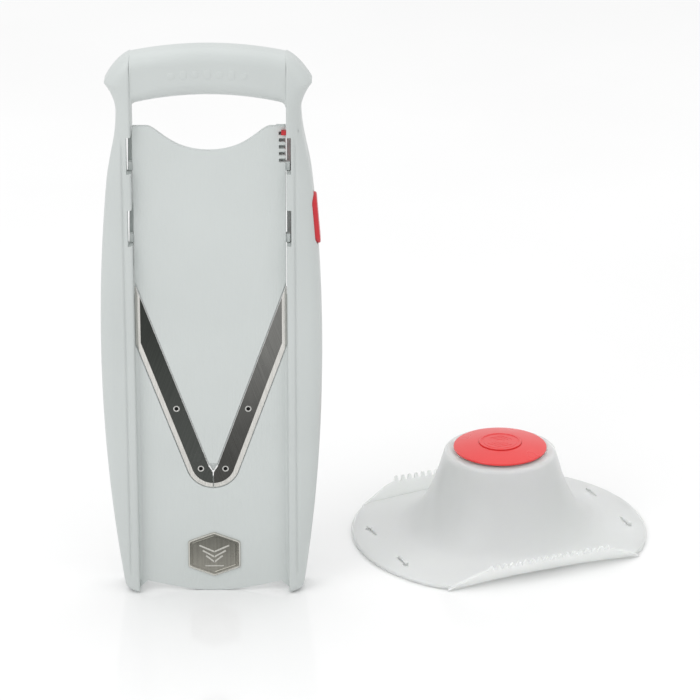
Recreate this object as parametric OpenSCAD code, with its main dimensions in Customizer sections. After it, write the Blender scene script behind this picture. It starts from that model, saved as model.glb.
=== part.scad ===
// Mandoline slicer with V blades, a sliding thickness insert and a safety food holder.
// Millimetres. X is across the slicer, -Y is the slicing side, +Z runs up to the handle.

/* [Slicer frame] */
// Height of the slicer, standing on its lower end
slicer_h = 365; // [340:1:440]
// Greatest width over the two side rails
slicer_w = 139; // [128:1:168]
// Width of one side rail where it is widest
rail_w = 21.7; // [20:0.1:24]
// How far the rails' crest stands in front of the deck's middle plane
rail_front = 8; // [7.5:0.1:9]
// How far the rails reach behind the deck's middle plane
rail_back = 19; // [18:0.5:24]
// Thickness of the rails' outer wall
wall = 2; // [1.8:0.1:2.2]
// Height of the finger grip's bar
grip_h = 30.4; // [26:0.2:34]

/* [Deck and blades] */
// Thickness of the deck and of the insert plate
deck_t = 3; // [2.8:0.1:3.6]
// Angle between a cutting edge and the slicer's length
v_angle = 19.8; // [18:0.1:22]
// Height of the V's lower end
v_foot_z = 86.4; // [80:0.2:100]
// Radius of the blade seat's round lower end
seat_r = 17; // [15:0.5:18]
// Thickness of a blade
blade_t = 1.2; // [0.8:0.1:1.4]
// Width of the hexagonal badge
badge_w = 33.5; // [28:0.5:36]

/* [Thickness insert] */
// Gap between each edge of the insert and the rail beside it
insert_gap = 0.4; // [0.3:0.05:0.6]
// Distance between two thickness notches
notch_pitch = 4.4; // [4:0.1:4.8]
// How much thicker each notch cuts
notch_step = 1.75; // [1:0.05:2]

/* [Release latch] */
// Height of the release button
button_h = 33; // [28:0.5:36]
// Radius of the latch's pivot pin
pin_r = 1.5; // [1.3:0.05:1.8]

/* [Food holder] */
// Radius of the holder's brim
brim_r = 98; // [92:0.5:106]
// Half the distance between the brim's two straight sides
brim_cut = 69; // [67:0.5:74]
// Height of the dome's flat top
dome_h = 60; // [56:0.5:72]
// Radius of the red plunger cap
cap_r = 30.7; // [26:0.1:34]
// Radius of the plunger's stem
stem_r = 6; // [5:0.1:8]
// Clear distance between the slicer and the holder's brim
holder_clear = 18.5; // [5:0.5:60]
// Distance of the holder's centre behind the deck's middle plane
holder_y = 88; // [0:1:120]
// Turn of the holder about its own vertical axis
holder_yaw = 22.8; // [-45:0.1:45]

/* [Hidden] */
$fn = 64;

frame_grey = [0.80, 0.82, 0.81];
blade_steel = [0.36, 0.37, 0.37];
bright_steel = [0.72, 0.72, 0.70];
signal_red = [0.80, 0.17, 0.16];
clear_white = [0.90, 0.93, 0.90];

// Slack that makes a cut run clean through a face
over = 1;

// The track between the rails, and the deck's two faces
track_half = slicer_w / 2 - rail_w;
deck_front = -deck_t / 2;
deck_rear = deck_t / 2;
inner_wall = 2.5;
front_wall = 2.5;

// The rails' long outer arc, which leans in by foot_lean at the lower end
foot_lean = 12.5;
side_z = 0.452 * slicer_h;
side_r = side_z * side_z / (2 * foot_lean);
side_cx = slicer_w / 2 - side_r;
neck_z = slicer_h - 85;
roll = 10;
bead_w = 4.6;
foot_r = 5;

// The shoulder's stations, as [width beyond the track, height]
waist = [9.1, slicer_h - 40.5];
shoulder_tip = [15.9, slicer_h - 22.8];
shoulder_top = [0, slicer_h - 5];

// The grip is a band of a ring about the X middle
grip_r = 230;
grip_cz = slicer_h - grip_r;
grip_front = -rail_front + 1;
grip_back = rail_back - 2;
grip_corner = 9;

// The V: its edges start at v_tip to each side of the middle
v_tip = 2.8;
v_slope = tan(v_angle);
v_top_z = v_foot_z + (track_half - v_tip) / v_slope;
seat_cz = v_foot_z + 2.7;
seat_groove = 0.5;
bed_overhang = 7.1;
blade_front = deck_front;
blade_rear = blade_front + blade_t;
blade_seam = 0.3;
rivet_r = 2.1;
rivet_bore_r = 1.1;
rivet_heights = [v_foot_z - 1.2, v_foot_z + 40.1];
rivet_inset = 5.45;

badge_z = 25.6;
badge_h = 0.916 * badge_w;
badge_r = 1.8;

// The insert and the way it slides: four notches up, and back by notch_step each
notches = 4;
travel = notches * notch_pitch;
drop_back = notches * notch_step;
insert_half = track_half - insert_gap;
insert_top = slicer_h - 50.3;
scoop_half = insert_half - 8.7;
scoop_depth = 15.9;
insert_v_lift = 2.4;
lug_h = 5.6;
lug_front = -0.5;
lug_rear = 3.5;
lug_reach = 2.6;
upper_lug_z = insert_top - 29;
lower_lug_z = v_top_z + 27;
rack_w = 6;
rack_h = 26.7;
notch_deep = 4.1;
notch_h = 2.2;

// The latch: pivot, button and pawl
pivot = [track_half + 6.2, insert_top - 31.7];
button_top = pivot[1] - 13;
button_bottom = button_top - button_h;
button_proud = 1.8;
button_front = -3;
button_rear = 11;
button_back_x = pivot[0] + 3;
lever_front = 3;
lever_rear = 9;
pawl_z = insert_top - 4.9;
pawl_h = 2.8;
pawl_front = -4.3;
pawl_rear = deck_front - 0.3;
cover_t = 2.5;
cover_low = pivot[1] - 59;
cover_high = slicer_h - 41;
screw_r = 1.2;
screw_head_r = 2.1;
screw_head_h = 1.2;
screw_boss_r = 2.3;
screw_sites = [
    [track_half + 4.9, cover_high - 5],
    [track_half + 10.2, cover_low + 6]
];

// The holder, in its own frame: X along the lobes, Y along the slide, Z up
holder_x = slicer_w / 2 + holder_clear + brim_r;
shell_shift = 1.6;
dome_top_r = 37;
dome_foot_r = 66;
brim_rise = 7.5;
brim_t = 1.8;
lip_r = 1.5;
flap_lean = 27;
flap_tall = 17.4;
flap_t = 1.8;
flap_arch = 4.4;
tooth_pitch = 4.9;
teeth = 18;
tooth_h = 3.6;
chamber_r = min(track_half - 5.8, 42);
chamber_wall = 1.8;
stem_gap = 0.08;
cap_gap = 1;
cap_rise = 4.2;
cap_t = 2;
medallion_r = 14;
medallion_deep = 2.4;
plunger_lift = 24;
plate_r = chamber_r - 6;
plate_low = 16;
plate_t = 3;
spike_r = 0.8;
spike_len = 12;
guide_low = plate_low + plate_t + plunger_lift + 2;

// Points of a cubic curve from a to d, without a itself
function curve(a, b, c, d, steps) = [
    for (i = [1:steps])
        let (t = i / steps, s = 1 - t)
        s * s * s * a + 3 * s * s * t * b + 3 * s * t * t * c + t * t * t * d
];

// Width of a rail beyond the track at a height on its long arc
function side_w(z) = side_cx + sqrt(side_r * side_r - (z - side_z) * (z - side_z)) - track_half;

// A rail's outer edge from the foot to the shoulder's end, as [width beyond the track, height]
neck_w = side_w(neck_z);
side_steps = 20;
rail_edge = concat(
    [for (i = [0:side_steps]) let (z = neck_z * i / side_steps) [side_w(z), z]],
    curve([neck_w, neck_z], [neck_w - 1.7, neck_z + 15], [waist[0], waist[1] - 18], waist, 6),
    curve(waist, waist + [0, 6.5], shoulder_tip - [3.4, 4.2], shoulder_tip, 6),
    curve(shoulder_tip, shoulder_tip + [-0.7, 3.3], [8.4, slicer_h - 8.5], shoulder_top, 8)
);

// Extrude an outline drawn in X and Z from y0 to y1
module slab(y0, y1) {
    translate([0, y1, 0])
        rotate([90, 0, 0])
            linear_extrude(y1 - y0)
                children();
}

// Extrude an outline drawn in Y and Z from x0 to x1
module side_slab(x0, x1) {
    translate([x0, 0, 0])
        rotate([90, 0, 90])
            linear_extrude(x1 - x0)
                children();
}

// A cylinder along Y
module rod(x, z, r, y0, y1) {
    translate([x, y1, z])
        rotate([90, 0, 0])
            cylinder(h = y1 - y0, r = r);
}

// A block between two corners
module block(low, high) {
    translate(low)
        cube(high - low);
}

// The rail's front view with its outer edge moved in by inset, from its inner edge at gap
module rail_outline(inset, gap, low, high) {
    intersection() {
        translate([-inset, 0])
            rail_side();
        translate([0, -inset])
            rail_side();
        translate([track_half + gap, low])
            square([rail_w, high - low]);
    }
}

// Everything inside the outer edge of the right rail
module rail_side() {
    polygon(concat(
        [[0, -roll], [track_half + rail_edge[0][0], -roll]],
        [for (p = rail_edge) [track_half + p[0], p[1]]],
        [[0, slicer_h - 5]]
    ));
}

// The rail as a stack of slices, stepped in towards the front by a quarter round
module rail_solid() {
    slices = 6;
    for (i = [0:slices - 1])
        let (d = 1 - (i + 0.5) / slices)
            slab(-rail_front + roll * i / slices, -rail_front + roll * (i + 1) / slices)
                rail_outline(roll * (1 - sqrt(1 - d * d)), 0, 0, slicer_h);
    slab(-rail_front + roll, rail_back)
        rail_outline(0, 0, 0, slicer_h);
}

// Rounded lower corner of a rail
module foot_corner() {
    corner_x = track_half + side_w(0);
    difference() {
        block([corner_x - foot_r, -rail_front - over, -over],
              [corner_x + foot_r, rail_back + over, foot_r]);
        rod(corner_x - foot_r, foot_r, foot_r, -rail_front - 2 * over, rail_back + 2 * over);
    }
}

// Hollow of a rail between two heights, open at the back
module rail_pocket(low, high) {
    slab(deck_front + 2.5, rail_back + over)
        rail_outline(wall, inner_wall, low, high);
    slab(-rail_front + front_wall, deck_front + 2.6)
        rail_outline(0.75 * roll, inner_wall, low, min(high, neck_z + 12));
}

// Window that one lug of the insert slides in; its sloping back edge sets the slice's thickness
module lug_window(z) {
    slack = 0.25;
    low = z - slack;
    high = z + lug_h + travel + slack;
    side_slab(track_half - over, track_half + inner_wall + 0.01)
        polygon([
            [-rail_front - over, low],
            [lug_rear + slack, low],
            [lug_rear + slack + drop_back, low + travel],
            [lug_rear + slack + drop_back, high],
            [-rail_front - over, high]
        ]);
}

// What both rails share, drawn on the right
module rail_body() {
    ribs = 5;
    rib_t = 2.2;
    pocket_low = 9;
    pitch = (cover_low - pocket_low) / ribs;
    difference() {
        rail_solid();
        foot_corner();
        // shallow valley beside the guide bead
        block([track_half + bead_w, -rail_front - over, 12],
              [track_half + bead_w + 1.8, -rail_front + 1, insert_top - 8]);
        for (i = [0:ribs - 1])
            rail_pocket(pocket_low + i * pitch, pocket_low + (i + 1) * pitch - rib_t);
        rail_pocket(cover_low, cover_high);
        rail_pocket(cover_high + rib_t, slicer_h - 14);
        lug_window(upper_lug_z);
        lug_window(lower_lug_z);
    }
}

module left_rail() {
    color(frame_grey)
        mirror([1, 0, 0])
            rail_body();
}

// The right rail also holds the latch
module right_rail() {
    color(frame_grey)
        difference() {
            union() {
                rail_body();
                rod(pivot[0], pivot[1], 3, -rail_front + 1, lever_front - 0.2);
                for (s = screw_sites)
                    rod(s[0], s[1], screw_boss_r, -rail_front + 3.5, rail_back - cover_t);
            }
            rod(pivot[0], pivot[1], pin_r, -rail_front + 1.5, lever_front + over);
            for (s = screw_sites)
                rod(s[0], s[1], screw_r + 0.05, 7, rail_back + over);
            // the button's way out through the outer wall
            block([track_half + inner_wall + 1, button_front - 0.3, button_bottom - 1.9],
                  [slicer_w, button_rear + 0.3, button_top + 0.6]);
            // room for the pawl's arm, and its slot through the inner wall
            block([track_half + inner_wall - 0.01, pawl_front - 0.4, pawl_z - 6],
                  [track_half + 7.5, deck_front + 2.6, pawl_z + pawl_h + 1]);
            block([track_half - over, pawl_front - 0.4, pawl_z - 0.8],
                  [track_half + inner_wall + 0.1, lever_rear, pawl_z + pawl_h + 1.4]);
        }
}

// Section of the grip's bar: X is the radius, Y is towards the front
module grip_section(inset, back) {
    r = grip_corner - inset;
    low = [grip_r - grip_h + inset, -back];
    high = [grip_r - inset, -grip_front - inset];
    translate(low + [r, 0])
        square([high[0] - low[0] - 2 * r, high[1] - low[1]]);
    translate(low + [0, r])
        square([high[0] - low[0], high[1] - low[1] - 2 * r]);
    for (x = [low[0] + r, high[0] - r])
        for (y = [low[1] + r, high[1] - r])
            translate([x, y])
                circle(r);
}

module grip_band(inset, back, x0, x1) {
    sweep = asin((track_half + over) / (grip_r - grip_h)) + 1;
    intersection() {
        translate([0, 0, grip_cz])
            rotate([90, 0, 0])
                rotate([0, 0, 90 - sweep])
                    rotate_extrude(angle = 2 * sweep, $fn = 360)
                        grip_section(inset, back);
        block([x0, -40, grip_cz], [x1, 40, slicer_h + over]);
    }
}

// The finger grip: a curved bar, hollow from the back between cross ribs
module handle_grip() {
    bays = 4;
    rib_t = 2.4;
    bay_w = (2 * track_half - rib_t) / bays;
    color(frame_grey)
        difference() {
            grip_band(0, grip_back, -track_half, track_half);
            for (i = [0:bays - 1]) {
                x0 = -track_half + rib_t + i * bay_w;
                grip_band(2.8, grip_back + 12, x0, x0 + bay_w - rib_t);
            }
            // room for the insert's two upper corners at its highest notch
            for (side = [0, 1])
                mirror([side, 0, 0])
                    block([scoop_half - 3, lug_rear, insert_top],
                          [track_half + over, rail_back, insert_top + travel + 1]);
        }
}

// Everything above two lines that rise at v_angle from a width of 2 * v_tip
module v_opening(lift, notch) {
    reach = track_half + 20;
    translate([0, v_foot_z + lift])
        polygon([
            [-v_tip, 0],
            [0, -notch],
            [v_tip, 0],
            [reach, (reach - v_tip) / v_slope],
            [reach, slicer_h],
            [-reach, slicer_h],
            [-reach, (reach - v_tip) / v_slope]
        ]);
}

// The V with the round lower end that the blades fill
module v_seat(r) {
    reach = track_half + 20;
    side = [r * cos(v_angle), seat_cz - r * sin(v_angle)];
    top = side[1] + (reach - side[0]) / v_slope;
    translate([0, seat_cz])
        circle(r);
    polygon([[-side[0], side[1]], side, [reach, top], [-reach, top]]);
}

// Front view of the deck: the apron at its lower end and the V's bed at its upper end
module deck_outline() {
    notch = [track_half - 4.9, 6.6];
    difference() {
        polygon(concat(
            [[-track_half, 2], [-notch[0], notch[1]]],
            curve([-notch[0], notch[1]], [-0.62 * notch[0], 2.6], [-0.3 * notch[0], 0], [-5, 0], 7),
            [[5, 0]],
            curve([5, 0], [0.3 * notch[0], 0], [0.62 * notch[0], 2.6], notch, 7),
            [[track_half, 2], [track_half, v_top_z], [-track_half, v_top_z]]
        ));
        v_opening(-bed_overhang, 0);
    }
}

module badge_outline(w, r) {
    reach = w / 2 - r;
    tall = 0.916 * w / 2 - r;
    hull()
        for (p = [[reach, 0.58 * tall], [0, tall], [-reach, 0.58 * tall],
                  [-reach, -0.58 * tall], [0, -tall], [reach, -0.58 * tall]])
            translate(p + [0, badge_z])
                circle(r, $fn = 24);
}

// Where the rivets go, drawn on the right
module rivet_places() {
    for (z = rivet_heights)
        translate([v_tip + (z - v_foot_z) * v_slope + rivet_inset, 0, z])
            children();
}

// The fixed deck: run-out below the blades, the blades' bed, and stiffening ribs behind
module runout_deck() {
    rib_top = v_foot_z - 16;
    color(frame_grey)
        difference() {
            union() {
                slab(deck_front, deck_rear)
                    deck_outline();
                for (x = [-0.52, 0, 0.52])
                    block([x * track_half - 1, deck_rear - 0.01, 12],
                          [x * track_half + 1, deck_rear + 3.5, rib_top]);
                block([-track_half, deck_rear - 0.01, rib_top - 2],
                      [track_half, deck_rear + 3.5, rib_top]);
                block([-track_half, deck_rear - 0.01, 12],
                      [track_half, deck_rear + 3.5, 14]);
            }
            slab(deck_front - over, blade_rear)
                v_seat(seat_r + seat_groove);
            slab(deck_front - over, deck_front + 0.6)
                translate([0, badge_z])
                    square([badge_w - 6, badge_h - 12], center = true);
            for (side = [-1, 1])
                scale([side, 1, 1])
                    rivet_places()
                        rod(0, 0, rivet_r + 0.03, -20, 20);
        }
}

// One V blade, drawn on the right
module blade_body() {
    difference() {
        slab(blade_front, blade_rear)
            intersection() {
                difference() {
                    v_seat(seat_r);
                    v_opening(0, 4.4);
                }
                translate([blade_seam, 0])
                    square([track_half - blade_seam - 0.3, v_top_z - 5]);
            }
        rivet_places()
            rod(0, 0, rivet_r + 0.03, -20, 20);
    }
}

module left_blade() {
    color(blade_steel)
        mirror([1, 0, 0])
            blade_body();
}

module right_blade() {
    color(blade_steel)
        blade_body();
}

// Four tubular rivets that hold the blades on their bed
module blade_rivets() {
    color(bright_steel)
        for (side = [0, 1])
            mirror([side, 0, 0])
                rivet_places()
                    difference() {
                        union() {
                            rod(0, 0, rivet_r, blade_front - 0.15, deck_rear);
                            rod(0, 0, rivet_r + 0.5, deck_rear, deck_rear + 0.6);
                        }
                        rod(0, 0, rivet_bore_r, blade_front - over, deck_rear + 2);
                    }
}

// Hexagonal badge with a raised border and two locating pads behind
module badge_plate() {
    rim = 1.6;
    color(bright_steel)
        difference() {
            union() {
                slab(deck_front - 1.1, deck_front)
                    badge_outline(badge_w, badge_r);
                slab(deck_front, deck_front + 0.6)
                    translate([0, badge_z])
                        square([badge_w - 6.4, badge_h - 12.4], center = true);
            }
            slab(deck_front - 2, deck_front - 0.7)
                badge_outline(badge_w - 2 * rim, 1);
        }
}

// Cover over the latch, set into the right rail's back
module latch_cover() {
    slack = 0.15;
    color(frame_grey)
        difference() {
            union() {
                slab(rail_back - cover_t, rail_back)
                    rail_outline(wall + slack, inner_wall + slack, cover_low + slack, cover_high - slack);
                rod(pivot[0], pivot[1], 3, lever_rear + 0.2, rail_back - cover_t);
            }
            rod(pivot[0], pivot[1], pin_r, lever_rear - over, rail_back - 1.2);
            for (s = screw_sites) {
                rod(s[0], s[1], screw_r + 0.15, 7, rail_back + over);
                rod(s[0], s[1], screw_head_r + 0.15, rail_back - screw_head_h, rail_back + over);
            }
        }
}

module cover_screws() {
    color(bright_steel)
        for (s = screw_sites)
            difference() {
                union() {
                    rod(s[0], s[1], screw_head_r, rail_back - screw_head_h, rail_back);
                    rod(s[0], s[1], screw_r, 9, rail_back - screw_head_h);
                }
                rod(s[0], s[1], 0.8, rail_back - 0.8, rail_back + over, $fn = 6);
            }
}

module latch_pivot_pin() {
    color(bright_steel)
        rod(pivot[0], pivot[1], pin_r, -rail_front + 1.5, rail_back - 1.2);
}

// The plate that food slides over, with side flanges and the lugs that ride in the rails
module insert_plate() {
    scoop = [scoop_half, insert_top];
    floor_z = insert_top - scoop_depth;
    right = curve(scoop, scoop - [7.2, 0], [24.5, floor_z], [0, floor_z], 10);
    left = [for (i = [len(right) - 2:-1:0]) [-right[i][0], right[i][1]]];
    color(frame_grey)
        difference() {
            union() {
                slab(deck_front, deck_rear)
                    intersection() {
                        polygon(concat(
                            [[insert_half, 0], [insert_half, insert_top], scoop],
                            right,
                            left,
                            [[-scoop[0], insert_top], [-insert_half, insert_top], [-insert_half, 0]]
                        ));
                        v_opening(insert_v_lift, 0);
                    }
                for (side = [0, 1])
                    mirror([side, 0, 0]) {
                        block([insert_half - 2.5, deck_rear - 0.01, v_top_z + 8],
                              [insert_half, lug_rear, insert_top - rack_h - 1]);
                        for (z = [lower_lug_z, upper_lug_z])
                            block([insert_half - 2.5, lug_front, z],
                                  [insert_half + lug_reach, lug_rear, z + lug_h]);
                    }
            }
            block([insert_half - rack_w, -10, insert_top - rack_h],
                  [insert_half + over, 10, insert_top + over]);
        }
}

// Notched strip on the insert's right edge
module thickness_rack() {
    first = insert_top - notch_pitch - 0.2;
    color(frame_grey)
        difference() {
            block([insert_half - rack_w, deck_front, insert_top - rack_h],
                  [insert_half, lug_rear, insert_top]);
            for (i = [0:notches])
                block([insert_half - notch_deep, -10, first - i * notch_pitch - notch_h / 2],
                      [insert_half + over, 10, first - i * notch_pitch + notch_h / 2]);
        }
}

// The button follows the rail's long arc and stands a little proud of it
module release_button() {
    color(signal_red)
        intersection() {
            rod(side_cx, side_z, side_r + button_proud, button_front, button_rear, $fn = 720);
            block([button_back_x, button_front, button_bottom], [slicer_w, button_rear, button_top]);
        }
}

// Lever between the button and the pawl
module latch_lever() {
    x = pivot[0];
    z = pivot[1];
    arm_x = track_half + inner_wall + 0.4;
    color(signal_red)
        difference() {
            union() {
                slab(lever_front, lever_rear)
                    polygon([
                        [arm_x, pawl_z + pawl_h], [arm_x + 1.3, pawl_z + pawl_h],
                        [arm_x + 1.7, z + 17], [x + 3.1, z + 1], [x + 3.1, button_top],
                        [button_back_x, button_top], [button_back_x, button_bottom],
                        [x + 1.2, button_bottom], [x + 1.2, z - 21],
                        [x - 2.4, z - 7], [x - 3.1, z + 1], [arm_x, z + 8]
                    ]);
                block([arm_x, pawl_front, pawl_z], [arm_x + 1.3, lever_front + 0.1, pawl_z + pawl_h]);
                block([insert_half - 2.6, pawl_front, pawl_z],
                      [arm_x + 1.3, pawl_rear, pawl_z + pawl_h]);
            }
            rod(x, z, pin_r + 0.08, -10, 20);
        }
}

// Return spring between the inner wall and the lever: a wire swept along a helix about X
module latch_spring() {
    turns = 4;
    coil_r = 2;
    wire_r = 0.35;
    sides = 6;
    rings = 12 * turns;
    x0 = track_half + inner_wall + wire_r + 0.1;
    x1 = pivot[0] + 1.15 - wire_r;
    points = [
        for (i = [0:rings]) for (k = [0:sides - 1])
            let (
                a = 360 * turns * i / rings,
                b = 360 * k / sides,
                r = coil_r + wire_r * cos(b)
            )
            [x0 + (x1 - x0) * i / rings + wire_r * sin(b), r * cos(a), r * sin(a)]
    ];
    skin = [
        for (i = [0:rings - 1]) for (k = [0:sides - 1])
            let (a = i * sides, b = a + sides, next = (k + 1) % sides)
            [a + k, a + next, b + next, b + k]
    ];
    color(bright_steel)
        translate([0, (lever_front + lever_rear) / 2, pivot[1] - 30])
            polyhedron(points, concat(
                skin,
                [[for (k = [sides - 1:-1:0]) k]],
                [[for (k = [0:sides - 1]) rings * sides + k]]
            ));
}

// Put a piece of the holder where the holder stands
module on_holder() {
    translate([holder_x, holder_y, 0])
        rotate([0, 0, holder_yaw])
            children();
}

// The dome's outer curve, from its top edge down to the brim
dome_curve = concat(
    [[dome_top_r - 3, dome_h]],
    curve(
        [dome_top_r - 3, dome_h],
        [dome_top_r - 0.8, dome_h],
        [dome_top_r, dome_h - 1],
        [dome_top_r + 0.6, dome_h - 4],
        4
    ),
    curve(
        [dome_top_r + 0.6, dome_h - 4],
        [43, 0.62 * dome_h],
        [51, 12],
        [dome_foot_r, brim_rise],
        14
    )
);

module holder_dome() {
    color(clear_white, 0.75)
        on_holder()
            difference() {
                union() {
                    rotate_extrude($fn = 96)
                        polygon(concat(
                            [[stem_r + stem_gap, dome_h]],
                            dome_curve,
                            [[dome_foot_r, brim_rise - shell_shift]],
                            [
                                for (i = [len(dome_curve) - 1:-1:1])
                                    dome_curve[i] - [shell_shift, shell_shift]
                            ],
                            [[stem_r + stem_gap, dome_h - shell_shift]]
                        ));
                    translate([0, 0, guide_low])
                        cylinder(h = dome_h - guide_low - 0.5, r = stem_r + 3);
                }
                translate([0, 0, guide_low - over])
                    cylinder(h = dome_h, r = stem_r + stem_gap);
            }
}

// An arrow-shaped slot through the brim, pointing along +Y
module arrow_slot() {
    translate([-0.9, 18])
        square([1.8, 12]);
    polygon([[-2.4, 29], [2.4, 29], [0, 34.5]]);
}

// The flared brim, cut off by two straight sides that lean out like the flaps on them
module holder_brim() {
    edge = brim_r - lip_r - 1.2;
    top = concat(
        [[dome_foot_r, brim_rise]],
        curve([dome_foot_r, brim_rise], [75, 4.6], [edge - 10, 4.4], [edge, 2.8], 8)
    );
    lip = [for (a = [110:-20:-110]) [brim_r - lip_r + lip_r * cos(a), lip_r + lip_r * sin(a)]];
    lean = tan(flap_lean);
    color(clear_white, 0.75)
        on_holder()
            difference() {
                intersection() {
                    rotate_extrude($fn = 120)
                        polygon(concat(
                            top,
                            lip,
                            [for (i = [len(top) - 1:-1:0]) top[i] - [0, brim_t]]
                        ));
                    side_slab(-brim_r - over, brim_r + over)
                        polygon([
                            [-brim_cut, 0], [brim_cut, 0],
                            [brim_cut + 12 * lean, 12], [-brim_cut - 12 * lean, 12]
                        ]);
                }
                for (turn = [0, 180])
                    rotate([0, 0, turn])
                        for (side = [0, 1])
                            mirror([0, side, 0])
                                translate([81, 0, -over])
                                    linear_extrude(20)
                                        arrow_slot();
            }
}

// Outline of a flap, drawn flat: an arched lower edge and a toothed upper one
module flap_outline() {
    half = sqrt(brim_r * brim_r - brim_cut * brim_cut) - 1;
    run = teeth * tooth_pitch / 2;
    root = flap_tall - tooth_h;
    polygon(concat(
        [[-half, 0]],
        curve([-half, 0], [-0.55 * half, flap_arch], [-0.3 * half, flap_arch], [0, flap_arch], 8),
        curve([0, flap_arch], [0.3 * half, flap_arch], [0.55 * half, flap_arch], [half, 0], 8),
        [[half, 1.6]],
        curve([half, 1.6], [half - 8, 5], [run + 8, root - 2], [run, root], 5),
        [for (i = [0:teeth - 1]) for (p = [[-0.9, tooth_h], [-2.6, tooth_h], [-3.6, 0], [-4.9, 0]])
            [run - i * tooth_pitch + p[0], root + p[1]]],
        curve([-run, root], [-run - 8, root - 2], [-half + 8, 5], [-half, 1.6], 5)
    ));
}

// The flap on the holder's far side
module flap_body() {
    lift = flap_t * sin(flap_lean);
    translate([0, brim_cut + lift * tan(flap_lean), lift])
        rotate([90 - flap_lean, 0, 0])
            translate([0, 0, -flap_t])
                linear_extrude(flap_t)
                    flap_outline();
}

module far_flap() {
    color(clear_white, 0.75)
        on_holder()
            flap_body();
}

module near_flap() {
    color(clear_white, 0.75)
        on_holder()
            mirror([0, 1, 0])
                flap_body();
}

// Inner sleeve that keeps the food between the rails and ends against the dome's inside
module food_chamber() {
    color(clear_white, 0.75)
        on_holder()
            intersection() {
                rotate_extrude($fn = 96)
                    polygon(concat(
                        [[0, 2], [dome_foot_r - shell_shift, 2]],
                        [for (i = [len(dome_curve) - 1:-1:1]) dome_curve[i] - [shell_shift, shell_shift]],
                        [[0, dome_h - shell_shift]]
                    ));
                difference() {
                    cylinder(h = dome_h, r = chamber_r, $fn = 96);
                    translate([0, 0, -over])
                        cylinder(h = dome_h, r = chamber_r - chamber_wall, $fn = 96);
                }
            }
}

module plunger_cap() {
    cap_round = (cap_r * cap_r + cap_rise * cap_rise) / (2 * cap_rise);
    base = dome_h + cap_gap;
    fall = asin(cap_r / cap_round);
    color(signal_red)
        on_holder()
            difference() {
                rotate_extrude($fn = 96)
                    polygon(concat(
                        [[0, base + 0.6], [cap_r - 2.4, base + 0.6], [cap_r - 2, base],
                         [cap_r - 0.4, base], [cap_r, base + 0.6]],
                        [for (i = [0:12]) let (a = fall * (1 - i / 12))
                            [cap_round * sin(a), base + 1.4 + cap_rise - cap_round * (1 - cos(a))]]
                    ));
                translate([0, 0, base + cap_t + cap_rise - medallion_deep])
                    cylinder(h = 5, r = medallion_r);
            }
}

// Round medallion set in the cap
module cap_medallion() {
    low = dome_h + cap_gap + cap_t + cap_rise - medallion_deep;
    color(signal_red)
        on_holder()
            translate([0, 0, low])
                difference() {
                    cylinder(h = 1, r = medallion_r - 0.1);
                    translate([0, 0, 0.6])
                        difference() {
                            cylinder(h = 1, r = medallion_r - 1.6);
                            translate([0, 0, -over])
                                cylinder(h = 3, r = medallion_r - 3);
                        }
                }
}

module plunger_stem() {
    color(clear_white, 0.75)
        on_holder()
            difference() {
                translate([0, 0, plate_low + plate_t])
                    cylinder(h = dome_h + cap_gap + 0.6 - plate_low - plate_t, r = stem_r);
                cylinder(h = plate_low + plate_t + 12, r = 1.5);
            }
}

module spike_plate() {
    color(clear_white, 0.75)
        on_holder()
            difference() {
                translate([0, 0, plate_low])
                    cylinder(h = plate_t, r = plate_r, $fn = 96);
                cylinder(h = plate_low + 2 * plate_t, r = 1.6);
                spike_places()
                    cylinder(h = 3 * plate_low, r = spike_r);
            }
}

// A ring of spikes near the plate's edge and a smaller one inside it
module spike_places() {
    for (ring = [[0.86, 12], [0.66, 6]])
        for (i = [0:ring[1] - 1])
            rotate([0, 0, 360 * i / ring[1] + 15])
                translate([ring[0] * plate_r, 0, 0])
                    children();
}

module spikes() {
    point = 3;
    low = plate_low - spike_len;
    color(bright_steel)
        on_holder()
            spike_places() {
                translate([0, 0, low + point])
                    cylinder(h = spike_len + plate_t - 0.6 - point, r = spike_r, $fn = 24);
                translate([0, 0, low])
                    cylinder(h = point, r1 = 0.1, r2 = spike_r, $fn = 24);
            }
}

// Screw that holds the spike plate to the stem
module plate_screw() {
    color(bright_steel)
        on_holder()
            difference() {
                union() {
                    translate([0, 0, plate_low - 1.6])
                        cylinder(h = 1.6, r = 3.4);
                    translate([0, 0, plate_low])
                        cylinder(h = plate_t + 10, r = 1.45);
                }
                translate([0, 0, plate_low - 3])
                    cylinder(h = 2.4, r = 1.2, $fn = 6);
            }
}

left_rail();
right_rail();
handle_grip();
runout_deck();
left_blade();
right_blade();
blade_rivets();
badge_plate();
latch_cover();
cover_screws();
latch_pivot_pin();
insert_plate();
thickness_rack();
release_button();
latch_lever();
latch_spring();
holder_dome();
holder_brim();
near_flap();
far_flap();
food_chamber();
plunger_cap();
cap_medallion();
plunger_stem();
spike_plate();
spikes();
plate_screw();
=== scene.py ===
import math

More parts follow.
